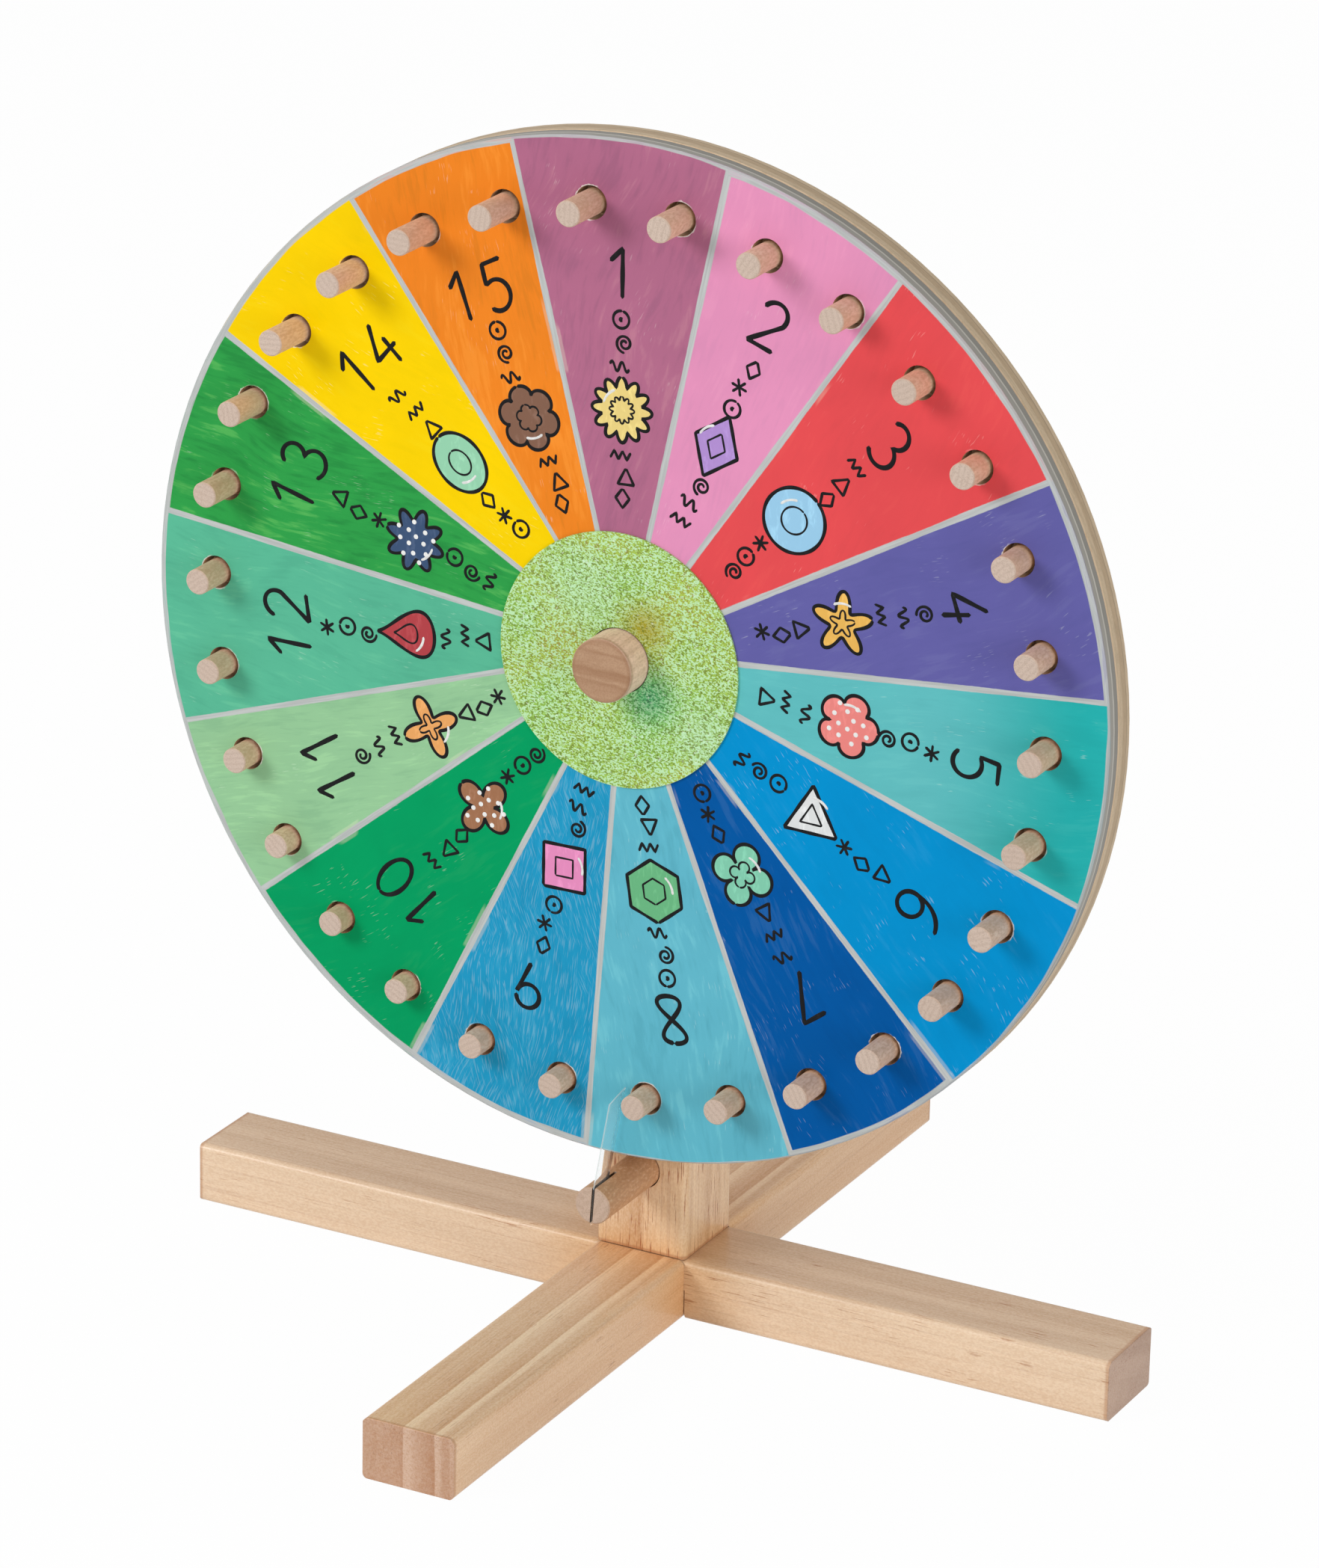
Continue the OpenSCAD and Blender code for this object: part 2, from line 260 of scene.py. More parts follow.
for short, (words, *tones) in TIMBER_TONES.items():
    for (kind, grain), value in zip(TIMBER_KINDS.items(), tones):
        label = f"{short.capitalize()}, {kind}"
        WoodSettings.__annotations__[f"{short}_{kind}"] = colour(label, f"{grain} of the {words}", value)


class TrimSettings(bpy.types.PropertyGroup):
    """Glitter card, flapper and fixings."""

    glitter: colour("Glitter", "Glitter card round the hub", (0.31, 0.58, 0.09))
    glitter_warm: colour("Glitter, warm", "Yellower parts of the glitter card", (0.42, 0.60, 0.08))
    glitter_pale: colour("Glitter, pale", "Bright ridges of the glitter", (0.56, 0.86, 0.54))
    glitter_dark: colour("Glitter, dark", "Dark pits of the glitter", (0.13, 0.19, 0.02))
    glitter_rust: colour("Glitter, rust", "Brown pits of the glitter", (0.31, 0.23, 0.03))
    # Painted light on the card: an ochre reflection beside the knob, and a deep green reflection with shade
    # below it
    glitter_ochre_reflection: colour("Glitter, ochre", "Ochre glow beside the knob", (0.42, 0.36, 0.02))
    glitter_deep_reflection_and_shade: colour("Glitter, deep", "Deep green glow below the knob", (0.09, 0.54, 0.18))
    clear: colour("Clear plastic", "Tint of the flapper", (0.97, 0.99, 0.99))
    # Painted highlight on the flapper's narrow edges, standing for light caught in them
    clear_edge: colour("Clear edge", "Milky edges of the flapper", (0.80, 0.86, 0.86))
    nylon: colour("Nylon", "Washer behind the post", (0.78, 0.78, 0.75))
    zinc: colour("Zinc", "Screws under the base", (0.60, 0.61, 0.63))


class StageSettings(bpy.types.PropertyGroup):
    """Floor, lamps and camera."""

    floor: colour("Floor", "Pale floor", (0.90, 0.90, 0.90))
    key: number("Key", "Power of the key lamp in watts", 35.5, min=0.0)
    fill: number("Fill", "Power of the fill lamp in watts", 22.5, min=0.0)
    top: number("Top", "Power of the top lamp in watts", 5.0, min=0.0)
    sky: number("Sky", "Strength of the even light", 0.41, min=0.0)
    azimuth: number("Azimuth", "Camera's place to the right", math.radians(27.484), subtype="ANGLE")
    elevation: number("Elevation", "Camera's height", math.radians(20.921), subtype="ANGLE")
    roll: number("Roll", "Camera's turn about its view", math.radians(1.266), subtype="ANGLE")
    distance: length("Distance", "Camera's distance from its aim", 2.65526)
    aim: bpy.props.FloatVectorProperty(
        name="Aim", description="Point that the camera looks at", subtype="XYZ", size=3,
        default=(-0.00611, 0.0, 0.21119)
    )
    lens: number("Lens", "Focal length in millimetres", 159.907)


class Value:
    """A number or colour that varies over a surface, for sums written as usual."""

    def __init__(self, tree, socket):
        self.tree = tree
        self.socket = socket

    def __add__(self, other):
        return self.tree.math("ADD", self, other)

    def __sub__(self, other):
        return self.tree.math("SUBTRACT", self, other)

    def __rsub__(self, other):
        return self.tree.math("SUBTRACT", other, self)

    def __mul__(self, other):
        return self.tree.math("MULTIPLY", self, other)

    def __abs__(self):
        return self.tree.math("ABSOLUTE", self)

    __radd__ = __add__
    __rmul__ = __mul__


class Tree:
    """A node tree, emptied, with short ways to add nodes."""

    def __init__(self, tree):
        self.nodes = tree.nodes
        self.links = tree.links
        self.nodes.clear()

    def put(self, socket, value):
        """Links a socket, or sets its constant."""
        if isinstance(value, Value):
            value = value.socket
        if isinstance(value, bpy.types.NodeSocket):
            self.links.new(value, socket)
        elif socket.type == "RGBA":
            socket.default_value = (*value, 1.0)
        else:
            socket.default_value = value

    def add(self, kind, inputs=(), **settings):
        """A new node with the given settings, and its inputs in order or by name or number."""
        node = self.nodes.new("ShaderNode" + kind)
        for key, value in settings.items():
            setattr(node, key, value)
        for key, value in inputs.items() if isinstance(inputs, dict) else enumerate(inputs):
            self.put(node.inputs[key], value)
        return node

    def get(self, kind, inputs, output=0, **settings):
        """A new node's output."""
        return Value(self, self.add(kind, inputs, **settings).outputs[output])

    def math(self, operation, a, b=0.0):
        """One sum on two numbers."""
        return self.get("Math", (a, b), operation=operation)


class Finish(Tree):
    """A material built from nodes, on Object coordinates."""

    def __init__(self, name):
        self.material = bpy.data.materials.new(name)
        self.material.use_nodes = True
        super().__init__(self.material.node_tree)
        self.shader = self.add("BsdfPrincipled")
        self.output = self.add("OutputMaterial", {"Surface": self.shader.outputs[0]})
        coords = self.add("TexCoord")
        self.place = coords.outputs["Object"]
        self.normal = coords.outputs["Normal"]

    def shade(self, **values):
        """Sets or links the shader's own sockets by name, with _ for a space."""
        for key, value in values.items():
            self.put(self.shader.inputs[key.replace("_", " ")], value)

    def xyz(self, vector):
        """The three parts of a vector."""
        return [Value(self, part) for part in self.add("SeparateXYZ", (vector,)).outputs]

    def vector(self, x, y, z):
        """A vector from its three parts."""
        return self.get("CombineXYZ", (x, y, z))

    def stretch(self, vector, scale):
        """A vector scaled apart along X, Y and Z."""
        return self.get("VectorMath", (vector, scale), operation="MULTIPLY")

    def offset(self, vector, by):
        """A vector moved along."""
        return self.get("VectorMath", (vector, by), operation="ADD")

    def noise(self, vector, scale, detail=2.0, roughness=0.5, distortion=0.0):
        """Smooth noise from 0 to 1."""
        inputs = {"Vector": vector, "Scale": scale, "Detail": detail}
        return self.get("TexNoise", inputs | {"Roughness": roughness, "Distortion": distortion})

    def grain(self, scale, *settings):
        """Noise scaled apart along X, Y and Z."""
        return self.noise(self.stretch(self.place, scale), *settings)

    def chance(self, number):
        """A random number from 0 to 1 for each whole number."""
        return self.get("TexWhiteNoise", {"W": number}, "Value", noise_dimensions="1D")

    def rise(self, value, low, high):
        """0 below low, 1 above high and smooth between; the other way round if low is above high."""
        limits = {"From Min": min(low, high), "From Max": max(low, high)}
        ends = {"To Min": float(low > high), "To Max": float(low <= high)}
        return self.get("MapRange", {"Value": value} | limits | ends, interpolation_type="SMOOTHSTEP")

    def span(self, value, low, high):
        """0 to 1 taken to low to high."""
        return value * (high - low) + low

    def mix(self, share, a, b, blend="MIX", clamp=False):
        """Two colours mixed."""
        inputs = {0: share, 6: a, 7: b}
        return self.get("Mix", inputs, 2, data_type="RGBA", blend_type=blend, clamp_result=clamp)

    def tinted(self, tone, tint):
        """A colour times another."""
        return self.mix(1.0, tone, tint, "MULTIPLY")

    def lighter(self, tone, gain, lift):
        """A colour times a gain plus a lift, held below white."""
        return self.mix(1.0, self.tinted(tone, (gain,) * 3), lift, "ADD", True)

    def ramp(self, share, stops, interpolation="LINEAR"):
        """A colour from a row of stops, each a place with a colour or one number."""
        node = self.add("ValToRGB", (share,))
        node.color_ramp.interpolation = interpolation
        elements = node.color_ramp.elements
        while len(elements) < len(stops):
            elements.new(1.0)
        for element, (position, value) in zip(elements, stops):
            element.position = position
            element.color = (*np.broadcast_to(value, 3), 1.0)
        return Value(self, node.outputs[0])

    def bump(self, height, strength, distance):
        """Small relief, with its depth in metres."""
        relief = {"Strength": strength, "Distance": distance, "Height": height}
        self.shade(Normal=self.get("Bump", relief))

    def polar(self, middle_x=0.0, middle_z=AXLE_Z):
        """Distance from a point of the wheel's plane, and turn clockwise from the top."""
        x, _, z = self.xyz(self.place)
        right = x - middle_x
        up = z - middle_z
        away = self.get("VectorMath", (self.vector(right, 0.0, up),), "Value", operation="LENGTH")
        return away, self.math("ARCTAN2", right, up)

    def facing(self, axis):
        """1 on faces square to an axis, 0 on faces along it."""
        return self.rise(abs(self.xyz(self.normal)[axis]), 0.55, 0.8)


def scaled(tone, *shares):
    """A colour times one share, or times one for each channel."""
    return tuple(np.multiply(tone, shares))


def wear(name, finish):
    """Puts a finish on a CAD node."""
    data = frame["nodes"][name].data
    data.materials.clear()
    data.materials.append(finish.material)


def brushwork(f, base, brushed, index, part, reach):
    """Brush strokes as noise drawn out along each sector, with blots, scratches and, in one sector, bristle
    lines two ways. Gives the coat, the strokes and the depth of the brush marks."""
    swung = part * SECTOR_TURN + f.span(f.chance(index + 3.5), -0.35, 0.35)
    swung = swung + (f.noise(f.place, 16.0, 1.0) - 0.5) * 0.16
    across = reach * f.math("SINE", swung)
    along = reach * f.math("COSINE", swung)
    strokes = f.noise(f.vector(across, along * 0.14, index * 0.37), 430.0, 3.0, 0.6, 0.3)
    patches = f.noise(f.vector(across, along * 0.5, index * 0.61), 60.0, 2.0, 0.6, 0.6)
    depth = strokes * 0.5 + patches * 0.5
    deep = f.tinted(base, (0.70, 0.77, 0.79))
    pale = f.lighter(base, 1.15, (0.06, 0.075, 0.025))
    coat = f.mix(f.rise(depth, 0.50, 0.36) * brushed, base, deep)
    coat = f.mix(f.rise(depth, 0.53, 0.64) * brushed, coat, pale)
    blot = f.rise(f.noise(f.place, 26.0, 3.0, 0.6), 0.35, 0.7)
    coat = f.mix(0.12, coat, f.mix(blot, f.tinted(coat, (0.55, 0.6, 0.65)), coat))

    bright = f.mix(0.5, pale, (0.86, 0.90, 0.84))
    patch = f.rise(f.noise(f.place, 34.0, 1.0), 0.46, 0.54)
    for lean, part_of in ((0.42, patch), (-0.22, 1.0 - patch)):
        right = reach * f.math("SINE", swung + lean)
        out = reach * f.math("COSINE", swung + lean)
        bristle = f.rise(f.noise(f.vector(right, out * 0.07, lean), 1700.0, 1.0), 0.53, 0.67)
        bristle = bristle * part_of * f.math("COMPARE", index, BRISTLED)
        coat = f.mix(bristle * 0.23, coat, bright)
    streak = f.noise(f.vector(across, along * 0.10, index * 0.9 + 9.0), 2000.0, 0.0)
    scratch = f.rise(streak, 0.70, 0.77) * f.rise(f.noise(f.place, 70.0, 2.0), 0.56, 0.66)
    coat = f.mix(scratch * 0.32, coat, bright)
    return coat, strokes, depth


def chips_round_pegs(f, radius, wheel_turn):
    """1 where paint is missing near a peg, by the law of cosines from the wheel's middle, else 0."""
    peg_part = f.math("FRACT", (wheel_turn - PEG_EDGE) * (1 / PEG_TURN)) - 0.5
    chord = radius * (2 * PEG_RING) * f.math("COSINE", peg_part * PEG_TURN)
    to_peg = f.math("SQRT", radius * radius + PEG_RING**2 - chord)
    torn = to_peg + (f.noise(f.place, 520.0, 2.0) - 0.5) * (1.4 * MM)
    return f.rise(torn, CHIP_R + 0.3 * MM, CHIP_R) * f.rise(f.noise(f.place, 60.0, 1.0), 0.54, 0.62)


def rim_and_holes(f, paint, base, y, radius, wheel_turn, wobble):
    """The rim in layers from front to back, darkened at its back edge by a painted shadow of the gap to the
    plywood, and the walls of the holes.
    """
    inside = (y - FACE_Y) * (1 / (FACE_BACK_Y - FACE_Y))
    grey = paint.bare_rim
    dim, light, shade = (scaled(grey, share) for share in (0.80, 1.55, 0.25))
    layers = [
        (0.0, paint.silver), (0.10, grey), (0.42, grey), (0.46, light), (0.52, light), (0.57, dim),
        (0.90, dim),
    ]
    rim_tone = f.ramp(inside + wobble * 30.0, layers)
    # Painted shadow of the gap between the front disc and the plywood, along the rim's back edge.
    rim_tone = f.mix(f.rise(inside, 0.93, 0.97), rim_tone, shade)
    residue = f.rise(y + wobble * 2.0, FACE_Y + 1.3 * MM, FACE_Y + 0.5 * MM) * 0.40
    rim_tone = f.mix(residue, rim_tone, f.mix(0.5, base, (0.42, 0.36, 0.50)))
    dull = f.noise(f.vector(wheel_turn * 0.03, y * 2.0, 0.0), 420.0, 3.0)
    rim_tone = f.mix(f.rise(dull, 0.45, 0.75) * 0.25, rim_tone, dim)
    fibres = f.grain((1.0, 0.12, 1.0), 700.0, 3.0)
    wall = paint.bare_wood
    wall_tone = f.mix(f.rise(fibres, 0.3, 0.7), scaled(wall, 0.68), wall)
    outside = f.rise(radius, WHEEL_R - RIM_INSET - 2 * MM, WHEEL_R - RIM_INSET)
    return f.mix(outside, wall_tone, rim_tone)


def sector_finish(paint):
    """Sectors by the turn about the painter's middle, evened out between their drawn edges; silver lines by
    the distance to the nearest edge."""
    f = Finish("sector_paint")
    x, y, _ = f.xyz(f.place)
    radius, wheel_turn = f.polar()
    reach, turn = f.polar(PAINT_X, PAINT_Z)
    share = f.math("FRACT", (turn - EDGES[0]) * (1 / math.tau))
    drawn = [((edge - EDGES[0]) / math.tau, i / SECTORS) for i, edge in enumerate(EDGES)]
    steps = f.ramp(share, drawn) * SECTORS
    index = f.math("FLOOR", steps)
    part = f.math("FRACT", steps) - 0.5
    pick = (index + 0.5) * (1 / SECTORS)
    paints = [getattr(paint, f"sector_{i + 1:02d}") for i in range(SECTORS)]
    shown = [getattr(paint, f"strokes_{i + 1:02d}") for i in range(SECTORS)]
    base = f.ramp(pick, [(i / SECTORS, value) for i, value in enumerate(paints)], "CONSTANT")
    shift = f.rise(reach, 0.62 * WHEEL_R, 0.95 * WHEEL_R) * f.math("COMPARE", index, DEEPENING)
    base = f.mix(shift, base, paint.deepened)
    brushed = f.ramp(pick, [(i / SECTORS, value) for i, value in enumerate(shown)], "CONSTANT")

    coat, strokes, depth = brushwork(f, base, brushed, index, part, reach)

    # Silver lines with missed wood beside them, and the silver ring at the rim
    sway = f.noise(f.place, 30.0, 2.0, 0.45) - 0.5
    wobble = sway * (1.5 * MM) + (f.noise(f.place, 420.0, 2.0) - 0.5) * (0.4 * MM)
    edge = (0.5 - abs(part)) * SECTOR_TURN
    gap = reach * f.math("SINE", edge) + wobble * 0.6
    half = paint.line_width / 2
    missed = f.rise(gap, half + 1.6 * MM, half + 1.0 * MM) * f.rise(f.noise(f.place, 24.0, 1.0), 0.62, 0.66)
    coat = f.mix(missed * 0.22, coat, (0.90, 0.84, 0.66))
    line = f.rise(gap, half + 0.15 * MM, half - 0.15 * MM)
    inner = WHEEL_R - paint.rim_width - radius + sway * (2.6 * MM)
    inner = inner + f.span(f.chance(index + 11.5), -1.0 * MM, 1.0 * MM)
    inner = inner + x * (0.4 * MM / WHEEL_R)
    ring = f.rise(inner, 0.2 * MM, -0.2 * MM)
    silver = f.math("MAXIMUM", line, ring)
    smear = f.noise(f.vector(radius, wheel_turn * 0.012, 3.0), 850.0, 2.0)
    drag = f.noise(f.vector(gap, reach * 0.04, index), 900.0, 2.0)
    sheen = smear * ring + drag * (1.0 - ring)
    tone = f.mix(f.rise(sheen, 0.35, 0.65), scaled(paint.silver, 0.84), paint.silver)
    tone = f.mix(f.rise(smear, 0.55, 0.66) * ring * 0.45, tone, f.mix(0.5, base, (0.42, 0.38, 0.50)))
    face = f.mix(silver, coat, tone)

    chip = chips_round_pegs(f, radius, wheel_turn)
    face = f.mix(chip * 0.85, face, (0.78, 0.74, 0.69))
    # Painted shade: the face turns near black within this radius of the axle, where the gap under the hub
    # card lies in shade.
    face = f.mix(f.rise(radius, PAINTED_SHADE_R + MM, PAINTED_SHADE_R), face, (0.03, 0.02, 0.015))

    side = rim_and_holes(f, paint, base, y, radius, wheel_turn, wobble)
    front = f.facing(1)
    f.shade(
        Base_Color=f.mix(front, side, face),
        Metallic=silver * front * 0.15,
        Roughness=f.span(strokes * 0.6 + silver * -0.2, 0.38, 0.58),
        Specular_IOR_Level=0.04,
    )
    f.bump(depth * 0.6 + silver * 0.5 + chip * -0.6, 0.3, 0.1 * MM)
    return f


def pine_finish(name, tones, along, slope, bands, seed, dashes, ends, joint):
    """Pine: growth bands across the timber, given as a row of stops; fine grain, long lines and short reddish
    dashes drawn out along it, by strength and rarity; tinted end grain with a thin brown edge; a painted warm
    shade by its joint, for bounced light and contact shade, given as a middle, half a length and a reach."""
    pale, dark, streak, tint = tones
    f = Finish(name)
    spot = f.offset(f.place, (seed * 0.731, seed * 0.417, seed * 0.593))

    def drawn(share):
        """The place, drawn out along the timber."""
        return f.stretch(spot, [share if axis == along else 1.0 for axis in range(3)])

    level = slope[3]
    for value, weight in zip(f.xyz(f.place), slope):
        level = level + value * weight
    level = level + (f.noise(drawn(0.35), 18.0, 2.0) - 0.5) * 0.10
    rings = f.ramp(level, bands)
    clouds = f.noise(drawn(0.10), 70.0, 2.0)
    fibres = f.noise(drawn(0.03), 800.0, 3.0, 0.6)
    share = rings + (f.rise(clouds, 0.3, 0.7) - 0.5) * 0.20
    share = share + (f.rise(fibres, 0.3, 0.7) - 0.5) * 0.16
    tone = f.mix(f.math("MAXIMUM", f.math("MINIMUM", share, 1.0), 0.0), pale, dark)
    line = f.rise(f.noise(drawn(0.010), 900.0, 1.0), 0.62, 0.67)
    tone = f.mix(line * 0.16, tone, streak)
    strength, rarity = dashes
    dash = f.rise(f.noise(drawn(0.045), 2000.0, 0.0), 0.66, 0.72)
    where = f.rise(f.noise(drawn(0.4), 90.0, 3.0), rarity - 0.05, rarity + 0.12)
    tone = f.mix(dash * where * strength, tone, streak)
    speck = f.rise(f.noise(drawn(0.5), 1700.0, 1.0), 0.32, 0.68)
    tone = f.mix(0.12, tone, f.mix(speck, streak, (0.97, 0.87, 0.75)))
    pits = f.rise(f.noise(spot, 1500.0, 2.0), 0.50, 0.70)
    end = f.mix(pits * 0.30, f.tinted(tone, tint), streak)
    run = f.xyz(f.place)[along]
    middle, half, spread = joint
    apart = abs(run - middle) - half
    # Painted shade: the wood turns darker and warmer near the joint, standing for light bounced between the
    # timbers and contact shade.
    warm_painted_light = f.tinted(tone, (0.96, 0.84, 0.66))
    tone = f.mix(f.rise(apart, spread, 0.0) * 0.8, tone, warm_painted_light)
    reach = abs(run - (ends[0] + ends[1]) / 2)
    brim = (ends[1] - ends[0]) / 2
    tone = f.mix(f.rise(reach, brim - 2.0 * MM, brim - 0.8 * MM) * 0.50, tone, streak)
    tone = f.mix(f.facing(along), tone, end)
    f.shade(Base_Color=tone, Roughness=f.span(fibres, 0.40, 0.54), Specular_IOR_Level=0.25)
    f.shade(Coat_Weight=0.30, Coat_Roughness=0.17)
    f.bump(fibres * 0.4 - dash * 0.5, 0.22, 0.12 * MM)
    return f


def dowel_finish(name, side_tone, end_tone, spacing, cut=None):
    """Turned wood: mottled fibres along Y on the side; on the end dotted pores and faint growth lines that
    turn from one piece to the next; painted shade on the walls within the half width and the depth of a saw
    cut."""
    f = Finish(name)
    _, turn = f.polar()
    index = f.math("FLOOR", (turn - PEG_EDGE) * (1 / PEG_TURN))
    angle = f.chance(index + 0.5) * math.pi
    x, y, z = f.xyz(f.place)
    slant = x * f.math("COSINE", angle) + z * f.math("SINE", angle)
    fibres = f.grain((1.0, 0.10, 1.0), 800.0, 3.0, 0.6)
    mottle = f.grain((1.0, 0.45, 1.0), 1100.0, 2.0)
    clouds = f.grain((1.0, 0.3, 1.0), 150.0, 2.0)
    own = f.span(f.chance(index + 7.5), 0.0, 0.22)
    low = scaled(side_tone, 0.76, 0.69, 0.63)
    side = f.mix(f.rise(fibres, 0.35, 0.7) * 0.40 + own, side_tone, low)
    side = f.mix(f.rise(mottle, 0.46, 0.60) * 0.60, side, low)
    side = f.mix(f.rise(mottle, 0.42, 0.30) * 0.30, side, (0.90, 0.74, 0.58))
    side = f.mix(f.rise(clouds, 0.4, 0.7) * 0.30, side, low)
    bent = slant + (f.noise(f.place, 180.0, 2.0) - 0.5) * (1.6 * MM)
    rings = f.math("SINE", bent * (math.tau / spacing))
    deep = scaled(end_tone, 0.72, 0.66, 0.62)
    end = f.mix(f.rise(rings, -0.3, 0.9) * 0.28, end_tone, deep)
    dots = f.rise(f.noise(f.place, 2100.0, 1.0), 0.48, 0.68)
    end = f.mix(dots * 0.55, f.mix(own * 0.8, end, deep), deep)
    tone = f.mix(f.facing(1), side, end)
    if cut:
        middle, lean, half, end_y = cut
        away = x - middle.x - (z - middle.z) * math.tan(lean)
        # Painted shade in the saw cut: its walls go dark within its width and depth.
        slot_shade = f.rise(abs(away), half * 1.15, half * 1.05) * f.rise(y, end_y, end_y - 0.5 * MM)
        tone = f.mix(slot_shade, tone, (0.085, 0.050, 0.030))
    f.shade(Base_Color=tone, Roughness=f.span(fibres, 0.50, 0.68), Specular_IOR_Level=0.35)
    f.bump(fibres * 0.5 + mottle * 0.5, 0.25, 0.12 * MM)
    return f


def knob_finish(wood):
    """The axle's wood: brown bands bent across the end and over its rounded edge, pale mottled fibres along
    the side."""
    f = Finish("knob_wood")
    x, y, z = f.xyz(f.place)
    low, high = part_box("axle")
    sway = (f.grain((0.5, 1.0, 1.0), 90.0, 2.0, 0.5, 0.3) - 0.5) * (4 * MM)
    bow = x * x * 6.0
    level = z - low.z + bow + (sway + x * 0.10)
    share = f.ramp(level * (1 / (high.z - low.z)), KNOB_BANDS)
    fine = f.grain((0.15, 1.0, 1.0), 900.0, 2.0)
    grain = f.rise(f.noise(f.place, 1500.0, 2.0), 0.40, 0.65)
    knob, brown = wood.knob, wood.knob_figure
    end = f.mix(share * 0.85, knob, brown)
    end = f.mix(f.rise(fine, 0.4, 0.7) * 0.22, end, brown)
    end = f.mix(grain * 0.28, end, brown)
    reach, _ = f.polar()
    brim = (high.z - low.z) / 2
    end = f.mix(f.rise(reach, brim - 1.8 * MM, brim - 0.9 * MM) * 0.30, end, brown)
    fibres = f.grain((1.0, 0.08, 1.0), 800.0, 3.0)
    speck = f.rise(f.grain((1.0, 0.5, 1.0), 1300.0, 2.0), 0.45, 0.65)
    pale = wood.knob_side
    low_tone = scaled(pale, 0.72, 0.66, 0.60)
    side = f.mix(f.rise(fibres, 0.35, 0.7) * 0.5 + speck * 0.45, pale, low_tone)
    side = f.mix(f.rise(y, low.y + 3.0 * MM, low.y + 1.0 * MM) * 0.6, side, end)
    f.shade(Base_Color=f.mix(f.facing(1), side, end), Roughness=0.5, Specular_IOR_Level=0.25)
    f.bump(fibres, 0.2, 0.1 * MM)
    return f


def ply_finish(wood):
    """Three plies through the rim's thickness, and a veneer with upright grain on the faces."""
    f = Finish("plywood")
    _, turn = f.polar()
    _, y, _ = f.xyz(f.place)
    wave = (f.noise(f.vector(turn * 0.4, 0.0, 0.0), 12.0, 2.0) - 0.5) * (0.8 * MM)
    depth = (y + wave - FACE_BACK_Y) * (1 / (PLY_BACK_Y - FACE_BACK_Y))
    fibres = f.noise(f.vector(turn * 0.05, y * 1.6, 0.0), 420.0, 3.0, 0.6)
    glue = scaled(wood.ply_tan, 0.60)
    woods = {"pale": wood.ply_pale, "tan": wood.ply_tan, "glue": glue}
    plies = f.ramp(depth, [(at, woods[kind]) for at, kind in PLIES])
    rim = f.mix(f.rise(fibres, 0.40, 0.72) * 0.35, plies, glue)
    speck = f.rise(f.noise(f.place, 1000.0, 2.0), 0.45, 0.7)
    rim = f.mix(speck * 0.14, rim, glue)
    lines = f.grain((1.0, 1.0, 0.03), 480.0, 3.0, 0.6)
    figure = f.grain((1.0, 1.0, 0.10), 45.0, 2.0, 0.6, 1.2)
    rings = f.rise(f.math("SINE", figure * 60.0), -0.2, 0.9)
    veneer = wood.ply_face
    late = scaled(veneer, 0.80, 0.72, 0.64)
    face = f.mix(f.rise(lines, 0.4, 0.7) * 0.35 + rings * 0.45, veneer, late)
    tone = f.mix(f.facing(1), rim, face)
    f.shade(Base_Color=tone, Roughness=f.span(lines, 0.5, 0.66), Specular_IOR_Level=0.35)
    f.bump(lines * 0.5 + fibres * 0.5, 0.25, 0.15 * MM)
    return f


